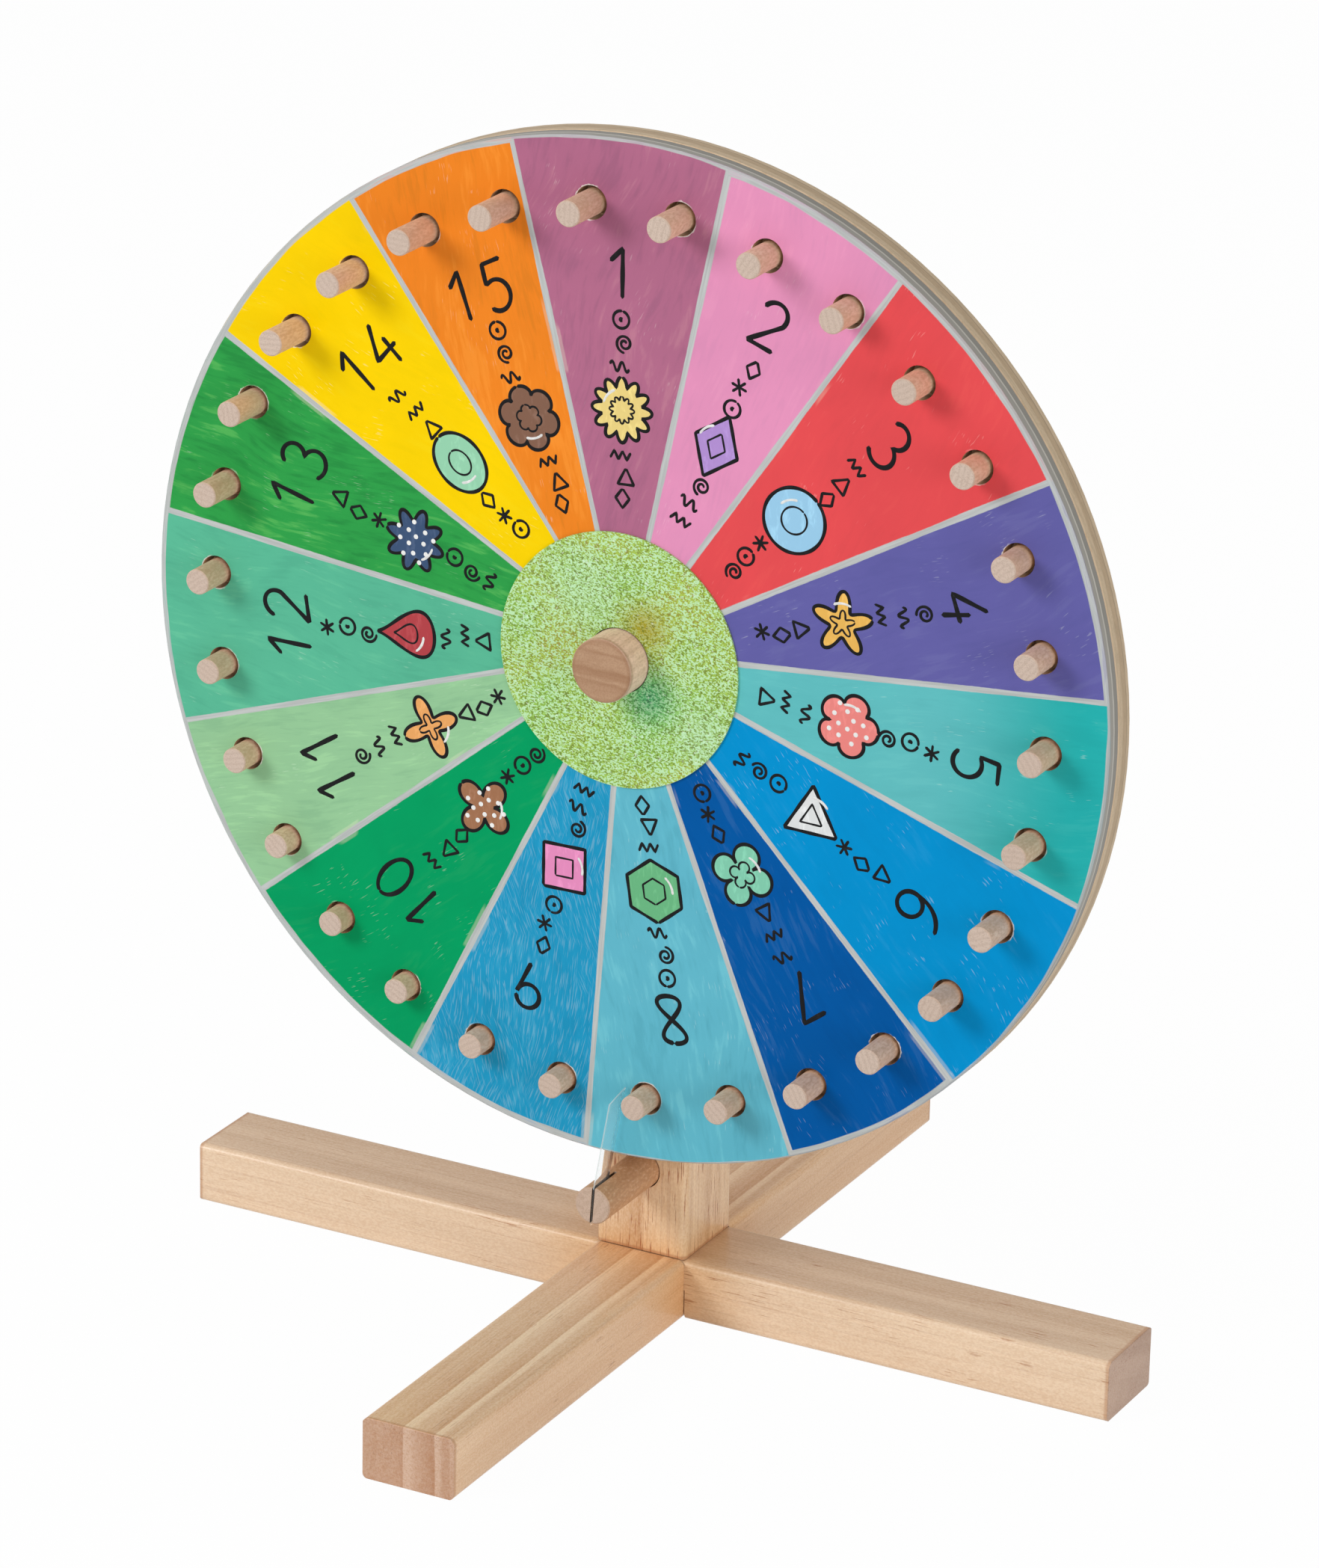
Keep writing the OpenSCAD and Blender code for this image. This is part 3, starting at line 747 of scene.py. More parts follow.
def glitter_finish(trim):
    """Glitter card: a fine noise parted in the middle into pale worm-like ridges and lime furrows with dark
    and brown pits; pale painted sheen patches, two soft painted reflections by the knob, the lower one also
    painted shade, and white specks as painted sparkle highlights."""
    f = Finish("glitter_card")
    x, _, z = f.xyz(f.place)
    bend = (f.noise(f.place, 260.0, 1.0) - 0.5) * (5 * MM)
    wave = f.math("SINE", (z + x * 0.35 + bend) * (math.tau / (1.2 * MM)))
    swell = f.grain((0.75, 1.0, 1.0), 1700.0, 0.0, 0.5, 0.5) + wave * 0.06
    ridge = f.rise(swell, 0.48, 0.60)
    furrow = f.rise(swell, 0.49, 0.36)
    grains = f.noise(f.place, 900.0, 2.0)
    drift = f.noise(f.place, 24.0, 2.0)

    def glow(right, up, size):
        """1 at a point of the card, falling to 0 at a distance, all in millimetres."""
        middle = (right * MM, 0.0, AXLE_Z + up * MM)
        apart = f.get("VectorMath", (f.vector(x, 0.0, z), middle), "Value", operation="DISTANCE")
        return f.rise(apart, size * MM, 0.0)

    # Painted light on the card: an ochre painted reflection beside the knob, a deep green painted reflection
    # with painted shade below it, and pale painted sheen patches.
    warm_painted_light = glow(11.0, 15.0, 18.0)
    cool_painted_light = glow(13.0, -12.0, 19.0)
    painted_sheen = glow(-16.0, 25.0, 24.0) + glow(36.0, -24.0, 18.0)
    ground = f.mix(f.rise(drift, 0.35, 0.65), trim.glitter, trim.glitter_warm)
    ground = f.mix(painted_sheen * 0.35, ground, trim.glitter_pale)
    ground = f.mix(warm_painted_light, ground, trim.glitter_ochre_reflection)
    ground = f.mix(cool_painted_light, ground, trim.glitter_deep_reflection_and_shade)
    low = f.mix(f.rise(drift, 0.50, 0.66), trim.glitter_dark, trim.glitter_rust)
    # Painted shade: the pits turn deep green and darker under the patch below the knob.
    low = f.mix(cool_painted_light, low, scaled(trim.glitter_deep_reflection_and_shade, 0.3))
    tone = f.mix(furrow * f.rise(grains, 0.30, 0.60) * 0.85, ground, low)
    shine = ridge * (0.80 - (warm_painted_light * 0.60 + cool_painted_light * 0.30))
    tone = f.mix(shine, tone, trim.glitter_pale)
    # Painted sparkle highlights: sparse pale specks on the glitter.
    tone = f.mix(f.rise(grains, 0.64, 0.74) * 0.5, tone, (0.86, 0.96, 0.86))
    f.shade(Base_Color=tone, Roughness=f.span(grains, 0.30, 0.60), Specular_IOR_Level=0.3)
    f.bump(ridge, 0.5, 0.15 * MM)
    return f


def plain_finish(name, tone, roughness, metallic):
    """Nylon, zinc or white marker: an even tone with faint marks along Y."""
    f = Finish(name)
    marks = f.grain((1.0, 0.2, 1.0), 800.0, 3.0)
    f.shade(Base_Color=f.mix(f.rise(marks, 0.3, 0.7), tone, scaled(tone, 0.85)))
    f.shade(Metallic=metallic, Roughness=f.span(marks, roughness - 0.06, roughness + 0.06))
    f.bump(marks, 0.15, 0.05 * MM)
    return f


def ink_finish(marks):
    """Black marker, a little greyer where the stroke ran thin."""
    f = Finish("marker_ink")
    thin = f.rise(f.noise(f.place, 260.0, 3.0), 0.55, 0.80)
    f.shade(Base_Color=f.mix(thin * 0.30, marks.ink, (0.05, 0.046, 0.05)))
    f.shade(Roughness=f.span(thin, 0.46, 0.62), Specular_IOR_Level=0.15)
    return f


def motif_finish():
    """Motif paint, whose tone each point carries, with brush marks."""
    f = Finish("motif_paint")
    own = f.get("Attribute", (), "Color", attribute_name="paint")
    brush = f.grain((1.0, 1.0, 0.35), 420.0, 3.0, 0.6, 0.6)
    pale = f.lighter(own, 1.25, (0.05, 0.05, 0.05))
    tone = f.mix(f.rise(brush, 0.50, 0.70) * 0.55, own, pale)
    f.shade(Base_Color=tone, Roughness=f.span(brush, 0.40, 0.56), Specular_IOR_Level=0.4)
    f.bump(brush, 0.3, 0.1 * MM)
    return f


def clear_finish(name, tone, through, roughness):
    """Clear plastic with faint scuffs, of which the given share of the light goes through."""
    f = Finish(name)
    scuff = f.grain((1.0, 1.0, 0.15), 700.0, 2.0)
    f.shade(Base_Color=tone, Transmission_Weight=through, IOR=1.03)
    f.shade(Roughness=f.span(f.rise(scuff, 0.62, 0.8), roughness, roughness + 0.12))
    return f


def grid_faces(rows, cols):
    """Faces of a grid of points whose columns close round."""
    row = np.arange(rows - 1)[:, None] * cols
    col = np.arange(cols)[None]
    after = (col + 1) % cols
    corners = row + col, row + cols + col, row + cols + after, row + after
    return np.stack(np.broadcast_arrays(*corners), -1).reshape(-1, 4)


def end_faces(rows, cols):
    """The first and the last row of such a grid as one face each."""
    return np.array([np.arange(cols), np.arange(cols)[::-1] + (rows - 1) * cols])


def put_mesh(name, points, faces, finish, smooth=True):
    """A mesh at the origin from an array of points and a list of faces."""
    mesh = bpy.data.meshes.new(name)
    mesh.from_pydata(points.tolist(), [], faces)
    mesh.polygons.foreach_set("use_smooth", np.full(len(mesh.polygons), smooth))
    mesh.validate()
    mesh.update()
    mesh.materials.append(finish.material)
    piece = bpy.data.objects.new(name, mesh)
    bpy.context.scene.collection.objects.link(piece)
    return piece


def arc(middle_x, middle_y, wide, high, start, stop, count=28):
    """Part of an ellipse: middle plus (wide cos t, high sin t), with t from start to stop in degrees."""
    t = np.radians(np.linspace(start, stop, count))
    return np.stack([middle_x + wide * np.cos(t), middle_y + high * np.sin(t)], 1)


def lines(*corners):
    """Straight strokes through the corners."""
    return np.array(corners, float)


def joined(*paths):
    """Several paths as one stroke."""
    return np.concatenate(paths)


def even(path, step):
    """The path's points laid out again at even steps along it."""
    run = np.concatenate([[0.0], np.cumsum(np.linalg.norm(np.diff(path, axis=0), axis=1))])
    count = max(8, int(run[-1] / step))
    at = np.linspace(0.0, run[-1], count)
    return np.stack([np.interp(at, run, path[:, 0]), np.interp(at, run, path[:, 1])], 1)


DIGITS = {
    "0": [arc(0.30, 0.5, 0.28, 0.5, 80, 445)],
    "1": [lines((0.08, 0.72), (0.36, 1.0), (0.34, 0.0))],
    "2": [joined(arc(0.30, 0.72, 0.27, 0.28, 165, -25), lines((0.02, 0.0), (0.60, 0.03)))],
    "3": [joined(arc(0.28, 0.74, 0.25, 0.25, 150, -75), arc(0.27, 0.25, 0.30, 0.27, 75, -150))],
    "4": [lines((0.42, 1.0), (0.02, 0.34), (0.62, 0.36)), lines((0.46, 0.62), (0.43, 0.0))],
    "5": [joined(lines((0.56, 0.98), (0.12, 0.96), (0.08, 0.56)), arc(0.27, 0.30, 0.29, 0.31, 115, -140))],
    "6": [joined(arc(0.62, 0.40, 0.58, 0.62, 100, 180), arc(0.31, 0.27, 0.27, 0.27, 180, 530))],
    "7": [lines((0.02, 0.96), (0.60, 1.0), (0.22, 0.0))],
    "8": [np.stack([
        0.30 + 0.26 * np.sin(2 * np.linspace(0.1, math.tau + 0.1, 60)),
        0.5 + 0.5 * np.cos(np.linspace(0.1, math.tau + 0.1, 60)),
    ], 1)],
    "9": [joined(arc(0.30, 0.73, 0.26, 0.26, 10, 360), lines((0.54, 0.60), (0.44, 0.0)))],
}


def swirl():
    """A spiral: (0.08 + 0.42 s) (cos 11 s, sin 11 s), with s from 0 to 1."""
    share = np.linspace(0.0, 1.0, 60)
    return ((0.08 + 0.42 * share) * np.stack([np.cos(11 * share), np.sin(11 * share)])).T


def ripple():
    """A wave: (s, 0.26 sin 11 s), with s from -0.55 to 0.55."""
    share = np.linspace(-0.55, 0.55, 60)
    return np.stack([share, 0.26 * np.sin(11 * share)], 1)


ORNAMENTS = [
    [arc(0.0, 0.0, 0.46, 0.46, 80, 440), arc(0.0, 0.0, 0.07, 0.07, 0, 350)],
    [lines((0.0, 0.52), (-0.47, -0.36), (0.47, -0.34), (0.02, 0.52))],
    [swirl()],
    [lines((0.0, 0.52), (-0.40, 0.0), (0.0, -0.52), (0.40, 0.0), (0.02, 0.52))],
    [ripple()],
    [
        lines((-0.48, 0.0), (0.48, 0.02)),
        lines((-0.24, 0.42), (0.25, -0.42)),
        lines((0.24, 0.42), (-0.26, -0.40)),
    ],
    [lines((-0.6, -0.2), (-0.36, 0.24), (-0.12, -0.22), (0.12, 0.24), (0.36, -0.22), (0.6, 0.22))],
]


AROUND = np.linspace(0.0, math.tau, 145)[:-1]


def closed_outline(away, turn):
    """Closed outline from its distances from its middle, turned by some degrees."""
    t = AROUND + math.radians(turn)
    return np.stack([away * np.cos(t), away * np.sin(t)], 1)


def lobed(count, depth, sharp, turn=90.0):
    """Closed outline whose distance from its middle is 1 - depth + depth |cos(count t / 2)| ** sharp."""
    return closed_outline(1.0 - depth + depth * np.abs(np.cos(count * AROUND / 2)) ** sharp, turn)


def many_sided(count, turn=90.0):
    """Closed outline with straight sides, whose distance from its middle is
    cos(pi / n) / cos(t mod (2 pi / n) - pi / n)."""
    half = math.pi / count
    return closed_outline(math.cos(half) / np.cos(np.mod(AROUND, math.tau / count) - half), turn)


def drop():
    """Closed outline of a drop: (0.72 sin t (1 - cos t) / 1.3, cos t)."""
    return np.stack([0.72 * np.sin(AROUND) * (1 - np.cos(AROUND)) / 1.3, np.cos(AROUND)], 1)


DISC = lobed(2, 0.0, 1.0)
MOTIFS = [
    lobed(12, 0.32, 1.0), many_sided(4) * (0.75, 1.05), DISC, lobed(5, 0.58, 2.4), lobed(5, 0.42, 0.45),
    many_sided(3), lobed(4, 0.62, 0.5, 45.0), many_sided(6), many_sided(4, 60.0), lobed(4, 0.66, 0.9, 0.0),
    lobed(4, 0.68, 2.2), drop(), lobed(8, 0.40, 1.6), DISC * (0.78, 1.0), lobed(6, 0.30, 0.5),
]

# Width of a digit and the gap beside it, as shares of its height
DIGIT_WIDE = 0.62
DIGIT_GAP = 0.22

# Widths of the finer strokes, as shares of a digit's stroke
OUTLINE_STROKE = 0.82
INNER_STROKE = 0.55
GLINT_STROKE = 0.6
ORNAMENT_STROKE = 0.62

# Motifs with dots, counted from 0, and the dots' number, size and turn from one to the next
DOTTED = (4, 9, 12)
DOTS = 13
DOT_R = 0.95 * MM
DOT_TURN = 2.4

# Distances of the ornaments from the axle, in millimetres
ORNAMENT_RADII = (128.5, 119.5, 110.5, 76.5, 68.0, 60.0)


def on_face(flat, height, sector):
    """Points drawn on a sector, to the right and outwards from the axle, put on the disc's face."""
    turn = (EDGES[sector] + EDGES[sector + 1]) / 2
    right, out = flat[..., 0], flat[..., 1]
    return np.stack([
        PAINT_X + out * math.sin(turn) + right * math.cos(turn),
        FACE_Y - height,
        PAINT_Z + out * math.cos(turn) - right * math.sin(turn),
    ], -1)


class Layer:
    """Thin paint on the face, gathered into one mesh."""

    def __init__(self, film):
        self.film = film
        self.points = []
        self.faces = []
        self.tones = []
        self.count = 0

    def lay(self, flat, lift, sector, faces):
        """Adds a grid of points and its faces."""
        self.points.append(on_face(flat, np.broadcast_to(lift, flat.shape[:2]), sector).reshape(-1, 3))
        for group in faces:
            self.faces += (group + self.count).tolist()
        self.count += math.prod(flat.shape[:2])

    def make(self, name, finish):
        """The mesh of all that was laid, which turns with the wheel."""
        piece = put_mesh(name, np.concatenate(self.points), self.faces, finish)
        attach(piece, "wheel")
        return piece


class Strokes(Layer):
    """Marker strokes: a crowned profile carried along each path, with round ends."""

    PROFILE = np.array([(-1.0, -0.3), (-0.72, 0.7), (0.0, 1.0), (0.72, 0.7), (1.0, -0.3)])

    def add(self, path, width, sector, seed):
        """One stroke. Half its width is w (1 + 0.1 sin) along the path, and sqrt(1 - (1 - s / w)^2) of that
        within w of its ends."""
        path = even(path, width * 0.35)
        run = np.concatenate([[0.0], np.cumsum(np.linalg.norm(np.diff(path, axis=0), axis=1))])
        ahead = np.gradient(path, axis=0)
        ahead /= np.maximum(np.linalg.norm(ahead, axis=1, keepdims=True), 1e-9)
        side = np.stack([ahead[:, 1], -ahead[:, 0]], 1)
        half = width / 2 * (1 + 0.10 * np.sin(run / width * 0.9 + seed))
        to_end = np.minimum(run, run[-1] - run)
        half = half * np.sqrt(np.clip(1 - (1 - np.minimum(to_end / (width / 2), 1.0)) ** 2, 0.02, 1.0))
        flat = path[:, None, :] + side[:, None, :] * (half[:, None] * self.PROFILE[None, :, 0])[..., None]
        size = flat.shape[:2]
        self.lay(flat, self.film * self.PROFILE[None, :, 1], sector, [grid_faces(*size), end_faces(*size)])


class Fills(Layer):
    """Painted patches: rings shrunk towards the outline's middle, crowned, and closed below the face."""

    RINGS = np.array([(1.0, -0.3), (0.97, 0.6), (0.85, 0.9), (0.5, 1.0), (0.1, 1.0)])

    def add(self, outline, middle, sector, tone, raise_by=0.0):
        """One patch from a closed outline round a middle."""
        flat = np.array(middle) + outline[None] * self.RINGS[:, 0, None, None]
        size = flat.shape[:2]
        quads = grid_faces(*size)[:, [0, 3, 2, 1]]
        ends = end_faces(*size)[::-1, ::-1]
        self.lay(flat, self.film * self.RINGS[:, 1, None] + raise_by, sector, [quads, ends])
        self.tones.append(np.tile((*tone, 1.0), (math.prod(size), 1)))


class PRIZEWHEEL_OT_sectors(bpy.types.Operator):
    """Paints the sectors on the front disc."""

    bl_idname = "prizewheel.sectors"
    bl_label = "Paint sectors"

    def execute(self, context):
        wear("front_disc", sector_finish(context.scene.prize_paint))
        return {"FINISHED"}


class PRIZEWHEEL_OT_marks(bpy.types.Operator):
    """Draws the numbers, the motifs and the small marks on the sectors."""

    bl_idname = "prizewheel.marks"
    bl_label = "Draw marks"

    def execute(self, context):
        marks = context.scene.prize_marks
        ink = Strokes(marks.film)
        white = Strokes(marks.film * 1.5)
        fills = Fills(marks.film * 0.7)
        for sector in range(SECTORS):
            self.draw_number(marks, sector, ink)
            self.draw_motif(marks, sector, ink, white, fills)
            self.draw_ornaments(marks, sector, ink)
        ink.make("marker_strokes", ink_finish(marks))
        chalk = plain_finish("white_marker", marks.highlight, roughness=0.5, metallic=0.0)
        white.make("white_touches", chalk)
        piece = fills.make("motif_fills", motif_finish())
        tones = piece.data.color_attributes.new("paint", "FLOAT_COLOR", "POINT")
        tones.data.foreach_set("color", np.concatenate(fills.tones).astype(np.float32).ravel())
        return {"FINISHED"}

    def draw_number(self, marks, sector, ink):
        """The sector's number, each a little aslant and out of line."""
        word = str(sector + 1)
        high = marks.digit_height
        gap = DIGIT_GAP * high
        advance = DIGIT_WIDE * high + gap
        left = -(advance * len(word) - gap) / 2
        tilt = 0.10 * math.sin(sector * 2.4)
        for place, digit in enumerate(word):
            for path in DIGITS[digit]:
                flat = path * high + (left + place * advance, -high / 2)
                flat[:, 0] += flat[:, 1] * tilt
                flat[:, 1] += marks.digit_radius + 1.5 * MM * math.sin(sector * 1.7)
                ink.add(flat, marks.stroke, sector, sector + place)

    def draw_motif(self, marks, sector, ink, white, fills):
        """A filled motif with its outline, dots or a smaller outline in it, and a white glint."""
        outline = MOTIFS[sector] * marks.motif_size
        middle = np.array((0.8 * MM * math.sin(sector * 3.1), marks.motif_radius))
        fills.add(outline, middle, sector, getattr(marks, f"motif_{sector + 1:02d}"))
        loop = np.concatenate([outline, outline[:1]])
        ink.add(loop + middle, marks.stroke * OUTLINE_STROKE, sector, sector * 0.7)
        if sector in DOTTED:
            for spot in range(DOTS):
                away = 0.72 * marks.motif_size * math.sqrt((spot + 0.4) / DOTS)
                dot = middle + away * np.array((math.cos(DOT_TURN * spot), math.sin(DOT_TURN * spot)))
                fills.add(DISC * DOT_R, dot, sector, marks.highlight, marks.film * 0.7)
        else:
            ink.add(0.42 * loop + middle, marks.stroke * INNER_STROKE, sector, sector * 1.3)
        glint = arc(0.0, 0.0, 0.66, 0.66, 110 + 9 * sector, 165 + 9 * sector) * marks.motif_size
        white.add(glint * 0.95 + middle, marks.stroke * GLINT_STROKE, sector, sector)

    def draw_ornaments(self, marks, sector, ink):
        """A row of small ornaments above and below the motif."""
        for step, radius in enumerate(ORNAMENT_RADII):
            spot = (1.4 * MM * math.sin(2.3 * sector + 1.9 * step), radius * MM)
            for path in ORNAMENTS[(3 * sector + 2 * step) % len(ORNAMENTS)]:
                flat = path * marks.ornament_size + spot
                ink.add(flat, marks.stroke * ORNAMENT_STROKE, sector, sector + step)


class PRIZEWHEEL_OT_timbers(bpy.types.Operator):
    """Gives the beams and the post their pine."""

    bl_idname = "prizewheel.timbers"
    bl_label = "Finish timbers"

    def execute(self, context):
        wood = context.scene.prize_wood
        foot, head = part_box("post")
        wide = 1 / (head.x - foot.x)
        crossing = 0.0, (head.x - foot.x) / 2, CROSSING_PAINTED_SHADE
        high = 1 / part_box("base_beam_cross")[1].z
        timbers = {
            "base_beam_long": (
                "long", 1, (wide, 0.0, 0.0, 0.5), LONG_BANDS, wood.streak, (0.50, 0.54), crossing,
            ),
            "base_beam_cross": (
                "cross", 0, (0.0, 0.3 * wide, 0.7 * high, 0.15), CROSS_BANDS, wood.streak, (0.75, 0.54),
                crossing,
            ),
            "post": (
                "post", 2, (0.35 * wide, 0.65 * wide, 0.0, 0.5), POST_BANDS, wood.post_streak, (0.95, 0.42),
                (foot.z, 0.0, FOOT_PAINTED_SHADE),
            ),
        }
        for seed, (node, look) in enumerate(timbers.items(), 1):
            short, along, slope, bands, streak, dashes, joint = look
            pale, dark, end = (getattr(wood, f"{short}_{kind}") for kind in TIMBER_KINDS)
            ends = [corner[along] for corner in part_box(node)]
            tones = pale, dark, streak, end
            wear(node, pine_finish(f"pine_{short}", tones, along, slope, bands, seed, dashes, ends, joint))
        return {"FINISHED"}


class PRIZEWHEEL_OT_dowels(bpy.types.Operator):
    """Gives the pegs, the pointer dowel, the axle, the spacer and the cross pin their turned wood."""

    bl_idname = "prizewheel.dowels"
    bl_label = "Finish dowels"

    def execute(self, context):
        wood = context.scene.prize_wood
        beech = dowel_finish("beech", wood.beech, wood.beech_end, spacing=2.2 * MM)
        for name in PEGS + ["spacer_ring", "axle_pin"]:
            wear(name, beech)
        low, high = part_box("pointer_dowel")
        cut = (low + high) / 2, SLOT_LEAN, SLOT_HALF, low.y + SLOT_DEPTH
        pointer = dowel_finish("dowel_wood", wood.dowel, wood.dowel_end, spacing=3.6 * MM, cut=cut)
        wear("pointer_dowel", pointer)
        wear("axle", knob_finish(wood))
        return {"FINISHED"}


class PRIZEWHEEL_OT_backing(bpy.types.Operator):
    """Gives the back disc its plywood and the hub its glitter card."""

    bl_idname = "prizewheel.backing"
    bl_label = "Finish plywood and hub"

    def execute(self, context):
        wear("back_disc", ply_finish(context.scene.prize_wood))
        wear("hub_disc", glitter_finish(context.scene.prize_trim))
        return {"FINISHED"}


class PRIZEWHEEL_OT_flapper(bpy.types.Operator):
    """Makes the clear flapper: a rounded strip carried up through the saw cut, whose slanted top is
    foot + s (L(y) - foot) along it, with L(y) rising straight from the shoulder to the tip."""

    bl_idname = "prizewheel.flapper"
    bl_label = "Make flapper"

    def execute(self, context):
        low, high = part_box("flapper")
        mouth = Vector(JOINTS["flapper_flex"]["pos_m"])
        foot = -(mouth.z - low.z) / math.cos(SLOT_LEAN)
        tip = (high.z - mouth.z) / math.cos(FLAPPER_LEAN)
        shoulder = tip - FLAPPER_SLANT / math.cos(FLAPPER_LEAN)
        rounding = FLAPPER_HALF - FLAPPER_EDGE
        width = high.y - low.y
        turn = np.radians(np.arange(0, 360, 30.0) + 15.0)
        off = rounding * np.cos(turn) + np.sign(np.cos(turn)) * (FLAPPER_HALF - rounding)
        deep = rounding * np.sin(turn) + np.sign(np.sin(turn)) * (width / 2 - rounding)
        y = (low.y + high.y) / 2 + deep
        top = shoulder + (tip - shoulder) * (y - low.y) / width
        share = np.linspace(0.0, 1.0, FLAPPER_ROWS)[:, None]
        run = foot + share * (top[None] - foot)
        eased = np.clip((run + FLAPPER_EASE) / (2 * FLAPPER_EASE), 0.0, 1.0)
        bend = SLOT_LEAN + (FLAPPER_LEAN - SLOT_LEAN) * eased
        lean = np.where(run > 0, FLAPPER_LEAN, SLOT_LEAN)
        x = mouth.x + run * np.sin(lean) + off[None] * np.cos(bend)
        z = mouth.z + run * np.cos(lean) - off[None] * np.sin(bend)
        points = np.stack([x, np.broadcast_to(y[None], x.shape), z], -1)
        faces = grid_faces(*x.shape).tolist() + end_faces(*x.shape).tolist()
        trim = context.scene.prize_trim
        clear = clear_finish("clear_plastic", trim.clear, through=0.94, roughness=0.02)
        piece = put_mesh("flapper_strip", points.reshape(-1, 3), faces, clear)
        # Painted highlight: the narrow edges above the cut get a whitish, less clear finish, standing for
        # light caught in them.
        edge = clear_finish("clear_edge", trim.clear_edge, through=0.55, roughness=0.15)
        piece.data.materials.append(edge.material)
        narrow = np.abs(np.diff(np.append(deep, deep[0]))) < 0.7 * rounding
        highlit_edges = narrow[None] & (run[:-1, :1] > 0)
        slots = np.concatenate([highlit_edges.ravel(), [False, True]]).astype(np.int32)
        piece.data.polygons.foreach_set("material_index", slots)
        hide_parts("flapper")
        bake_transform(piece)
        return {"FINISHED"}


class PRIZEWHEEL_OT_fixings(bpy.types.Operator):
    """Gives the washer its nylon and the screws their zinc."""

    bl_idname = "prizewheel.fixings"
    bl_label = "Finish fixings"

    def execute(self, context):
        trim = context.scene.prize_trim
        wear("rear_washer", plain_finish("nylon", trim.nylon, roughness=0.5, metallic=0.0))
        wear("post_screws", plain_finish("zinc", trim.zinc, roughness=0.35, metallic=1.0))
        return {"FINISHED"}


# Half the floor's side, the share of plain white in it, and the share of the sky's white in mirrors
FLOOR_REACH = 6.0
NEAR_WHITE = 0.975
MIRRORED = 0.6

# Each lamp's size and place, and the point that all of them look at
LAMPS = {
    "key": (1.05, (-1.5, -1.9, 1.5)),
    "fill": (1.6, (2.3, -1.0, 0.45)),
    "top": (1.6, (-0.2, 0.1, 2.2)),
}
LAMP_AIM = Vector((0.0, 0.0, 0.26))
SENSOR = 36.0
CLIP_END = 50.0


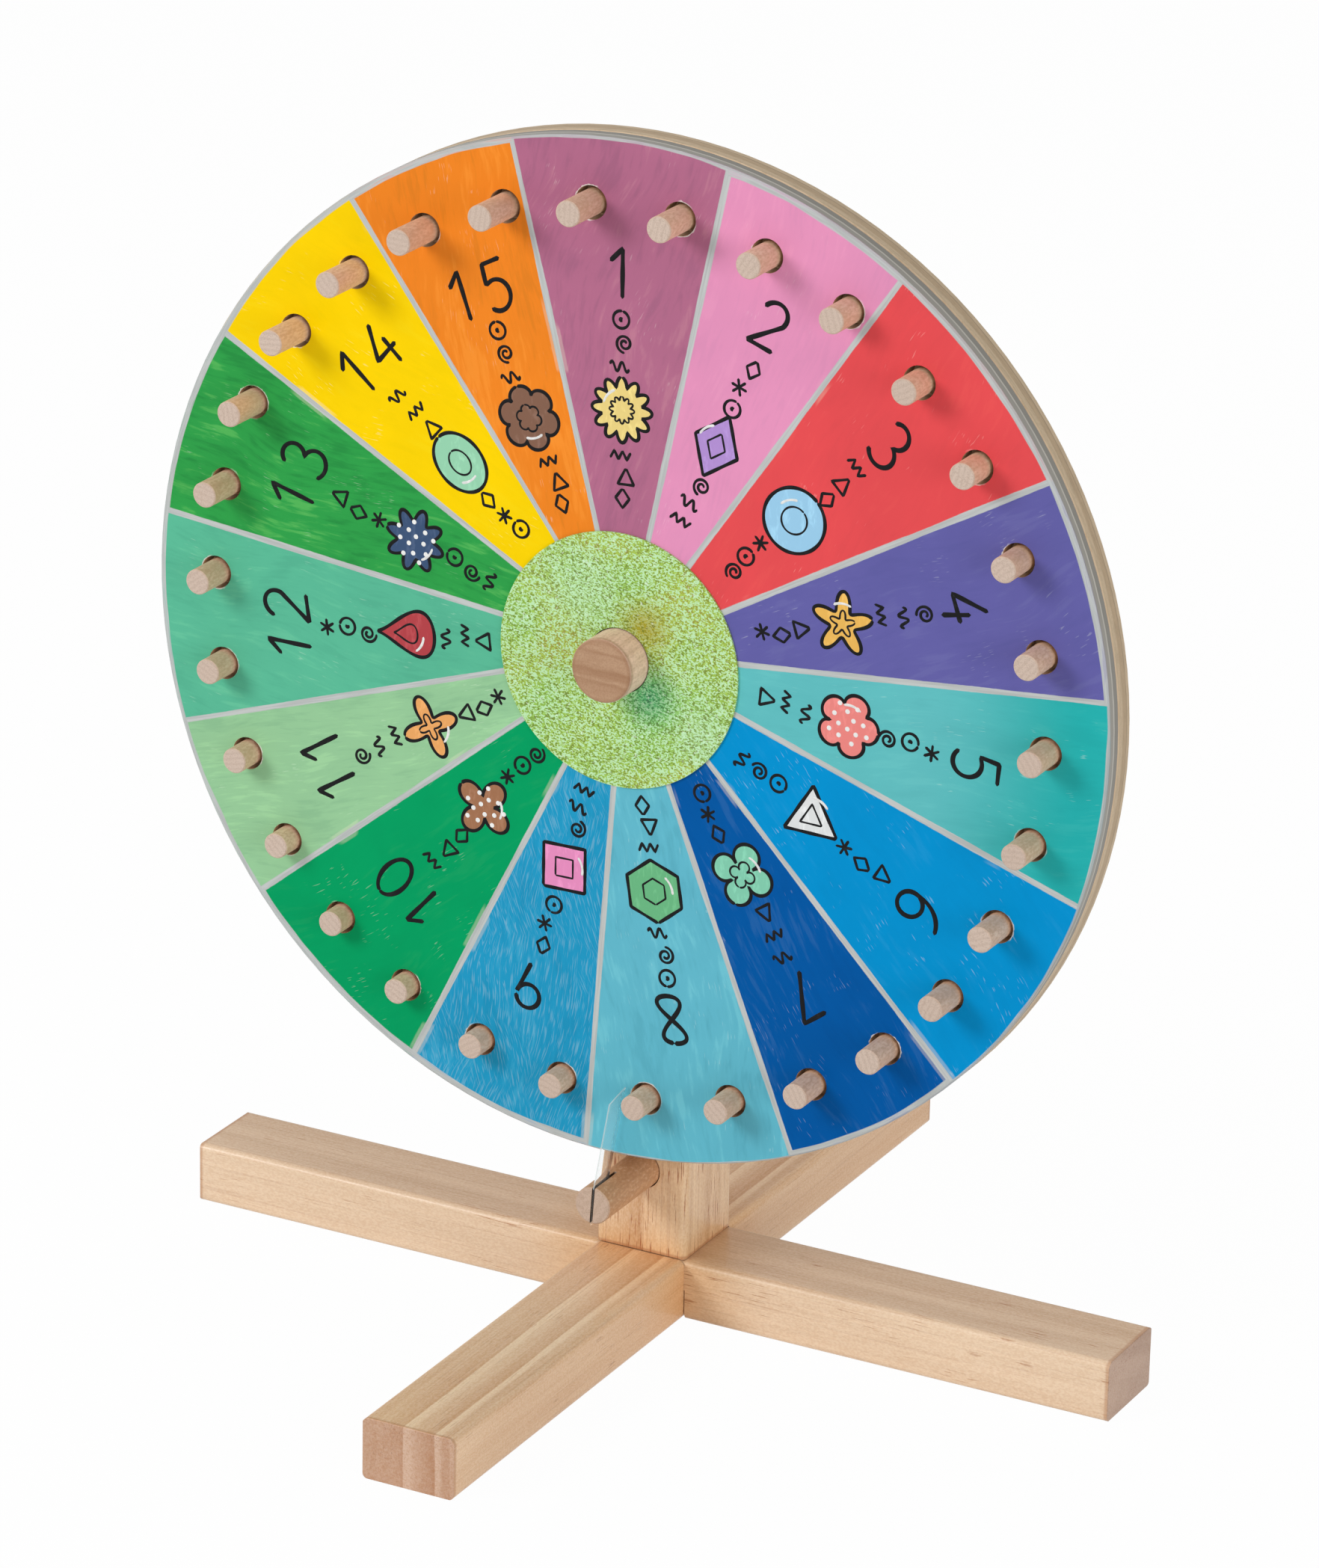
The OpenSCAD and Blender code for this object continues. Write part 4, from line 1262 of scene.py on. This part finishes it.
class PRIZEWHEEL_OT_stage(bpy.types.Operator):
    """Lays the floor and sets the lamps and the camera."""

    bl_idname = "prizewheel.stage"
    bl_label = "Set stage"

    def execute(self, context):
        scene = context.scene
        stage = scene.prize_stage
        scene.view_settings.view_transform = "Standard"
        self.lay_floor(stage)
        self.light_sky(scene, stage)
        for name, (size, place) in LAMPS.items():
            self.hang_lamp(f"{name}_lamp", getattr(stage, name), size, place)
        self.set_camera(scene, stage)
        return {"FINISHED"}

    def lay_floor(self, stage):
        """A flat square whose colour reaches the camera as near-white, and which keeps the shadow."""
        f = Finish("floor")
        reach = np.array([-FLOOR_REACH, FLOOR_REACH])
        points = np.stack([*np.meshgrid(reach, reach), np.zeros((2, 2))], -1).reshape(-1, 3)
        f.shade(Base_Color=stage.floor, Roughness=0.9, Specular_IOR_Level=0.1)
        path = f.add("LightPath").outputs
        glow = f.add("Emission")
        seen = f.math("MAXIMUM", path["Is Camera Ray"], path["Is Glossy Ray"])
        seen = f.math("MAXIMUM", seen, path["Is Transmission Ray"])
        blend = f.add("MixShader", (seen * NEAR_WHITE, f.shader.outputs[0], glow.outputs[0]))
        f.put(f.output.inputs["Surface"], blend.outputs[0])
        put_mesh("floor", points, [(0, 1, 3, 2)], f, False)

    def light_sky(self, scene, stage):
        """Even light all round, white where the camera sees it, also mirrored or through the flapper."""
        world = bpy.data.worlds.new("studio")
        scene.world = world
        world.use_nodes = True
        t = Tree(world.node_tree)
        path = t.add("LightPath").outputs
        seen = t.math("MAXIMUM", path["Is Camera Ray"], path["Is Transmission Ray"])
        mirrored = t.get("Math", (path["Is Glossy Ray"], MIRRORED, seen), operation="MULTIPLY_ADD")
        strength = t.get("MapRange", {"Value": mirrored, "To Min": stage.sky, "To Max": 1.0})
        back = t.add("Background", {"Color": (1.0, 1.0, 1.0), "Strength": strength})
        t.add("OutputWorld", {"Surface": back.outputs[0]})

    def hang_lamp(self, name, power, size, place):
        """A square soft lamp that looks at the wheel's middle."""
        lamp = bpy.data.lights.new(name, "AREA")
        lamp.energy = power
        lamp.size = size
        holder = bpy.data.objects.new(name, lamp)
        bpy.context.scene.collection.objects.link(holder)
        look = LAMP_AIM - Vector(place)
        holder.matrix_world = Matrix.Translation(place) @ look.to_track_quat("-Z", "Y").to_matrix().to_4x4()

    def set_camera(self, scene, stage):
        """A long lens at the stated azimuth, elevation and roll about its aim."""
        az, el, roll = stage.azimuth, stage.elevation, stage.roll
        ahead = Vector((-math.sin(az) * math.cos(el), math.cos(az) * math.cos(el), -math.sin(el)))
        right = Vector((math.cos(az), math.sin(az), 0.0))
        up = right.cross(ahead)
        across = right * math.cos(roll) + up * math.sin(roll)
        upright = up * math.cos(roll) - right * math.sin(roll)
        eye = Vector(stage.aim) - ahead * stage.distance
        camera = bpy.data.cameras.new("camera")
        camera.sensor_width = SENSOR
        camera.sensor_height = SENSOR
        camera.lens = stage.lens
        camera.clip_end = CLIP_END
        holder = bpy.data.objects.new("camera", camera)
        scene.collection.objects.link(holder)
        turned = Matrix((across, upright, -ahead)).transposed().to_4x4()
        holder.matrix_world = Matrix.Translation(eye) @ turned
        scene.camera = holder


class PRIZEWHEEL_PT_panel(bpy.types.Panel):
    """Lists the settings and the steps in the sidebar."""

    bl_idname = "PRIZEWHEEL_PT_panel"
    bl_label = "Prize Wheel"
    bl_space_type = "VIEW_3D"
    bl_region_type = "UI"
    bl_category = "Prize Wheel"

    def draw(self, context):
        for operator in OPERATORS:
            self.layout.operator(operator.bl_idname)
        for key, group in GROUPS.items():
            box = self.layout.box()
            box.label(text=group.__doc__)
            for name in group.__annotations__:
                box.prop(getattr(context.scene, key), name)


GROUPS = {
    "prize_paint": PaintSettings,
    "prize_marks": MarkSettings,
    "prize_wood": WoodSettings,
    "prize_trim": TrimSettings,
    "prize_stage": StageSettings,
}
OPERATORS = (
    PRIZEWHEEL_OT_sectors,
    PRIZEWHEEL_OT_marks,
    PRIZEWHEEL_OT_timbers,
    PRIZEWHEEL_OT_dowels,
    PRIZEWHEEL_OT_backing,
    PRIZEWHEEL_OT_flapper,
    PRIZEWHEEL_OT_fixings,
    PRIZEWHEEL_OT_stage,
)


def register():
    """Registers the settings, the operators and the panel."""
    for key, group in GROUPS.items():
        bpy.utils.register_class(group)
        setattr(bpy.types.Scene, key, bpy.props.PointerProperty(type=group))
    for part in (*OPERATORS, PRIZEWHEEL_PT_panel):
        bpy.utils.register_class(part)


def unregister():
    """Takes them away again."""
    for part in (PRIZEWHEEL_PT_panel, *reversed(OPERATORS)):
        bpy.utils.unregister_class(part)
    for key, group in GROUPS.items():
        delattr(bpy.types.Scene, key)
        bpy.utils.unregister_class(group)


def main():
    """Registers the add-on and runs each step."""
    register()
    bpy.ops.prizewheel.sectors()
    bpy.ops.prizewheel.marks()
    bpy.ops.prizewheel.timbers()
    bpy.ops.prizewheel.dowels()
    bpy.ops.prizewheel.backing()
    bpy.ops.prizewheel.flapper()
    bpy.ops.prizewheel.fixings()
    bpy.ops.prizewheel.stage()


if __name__ == "__main__":
    main()
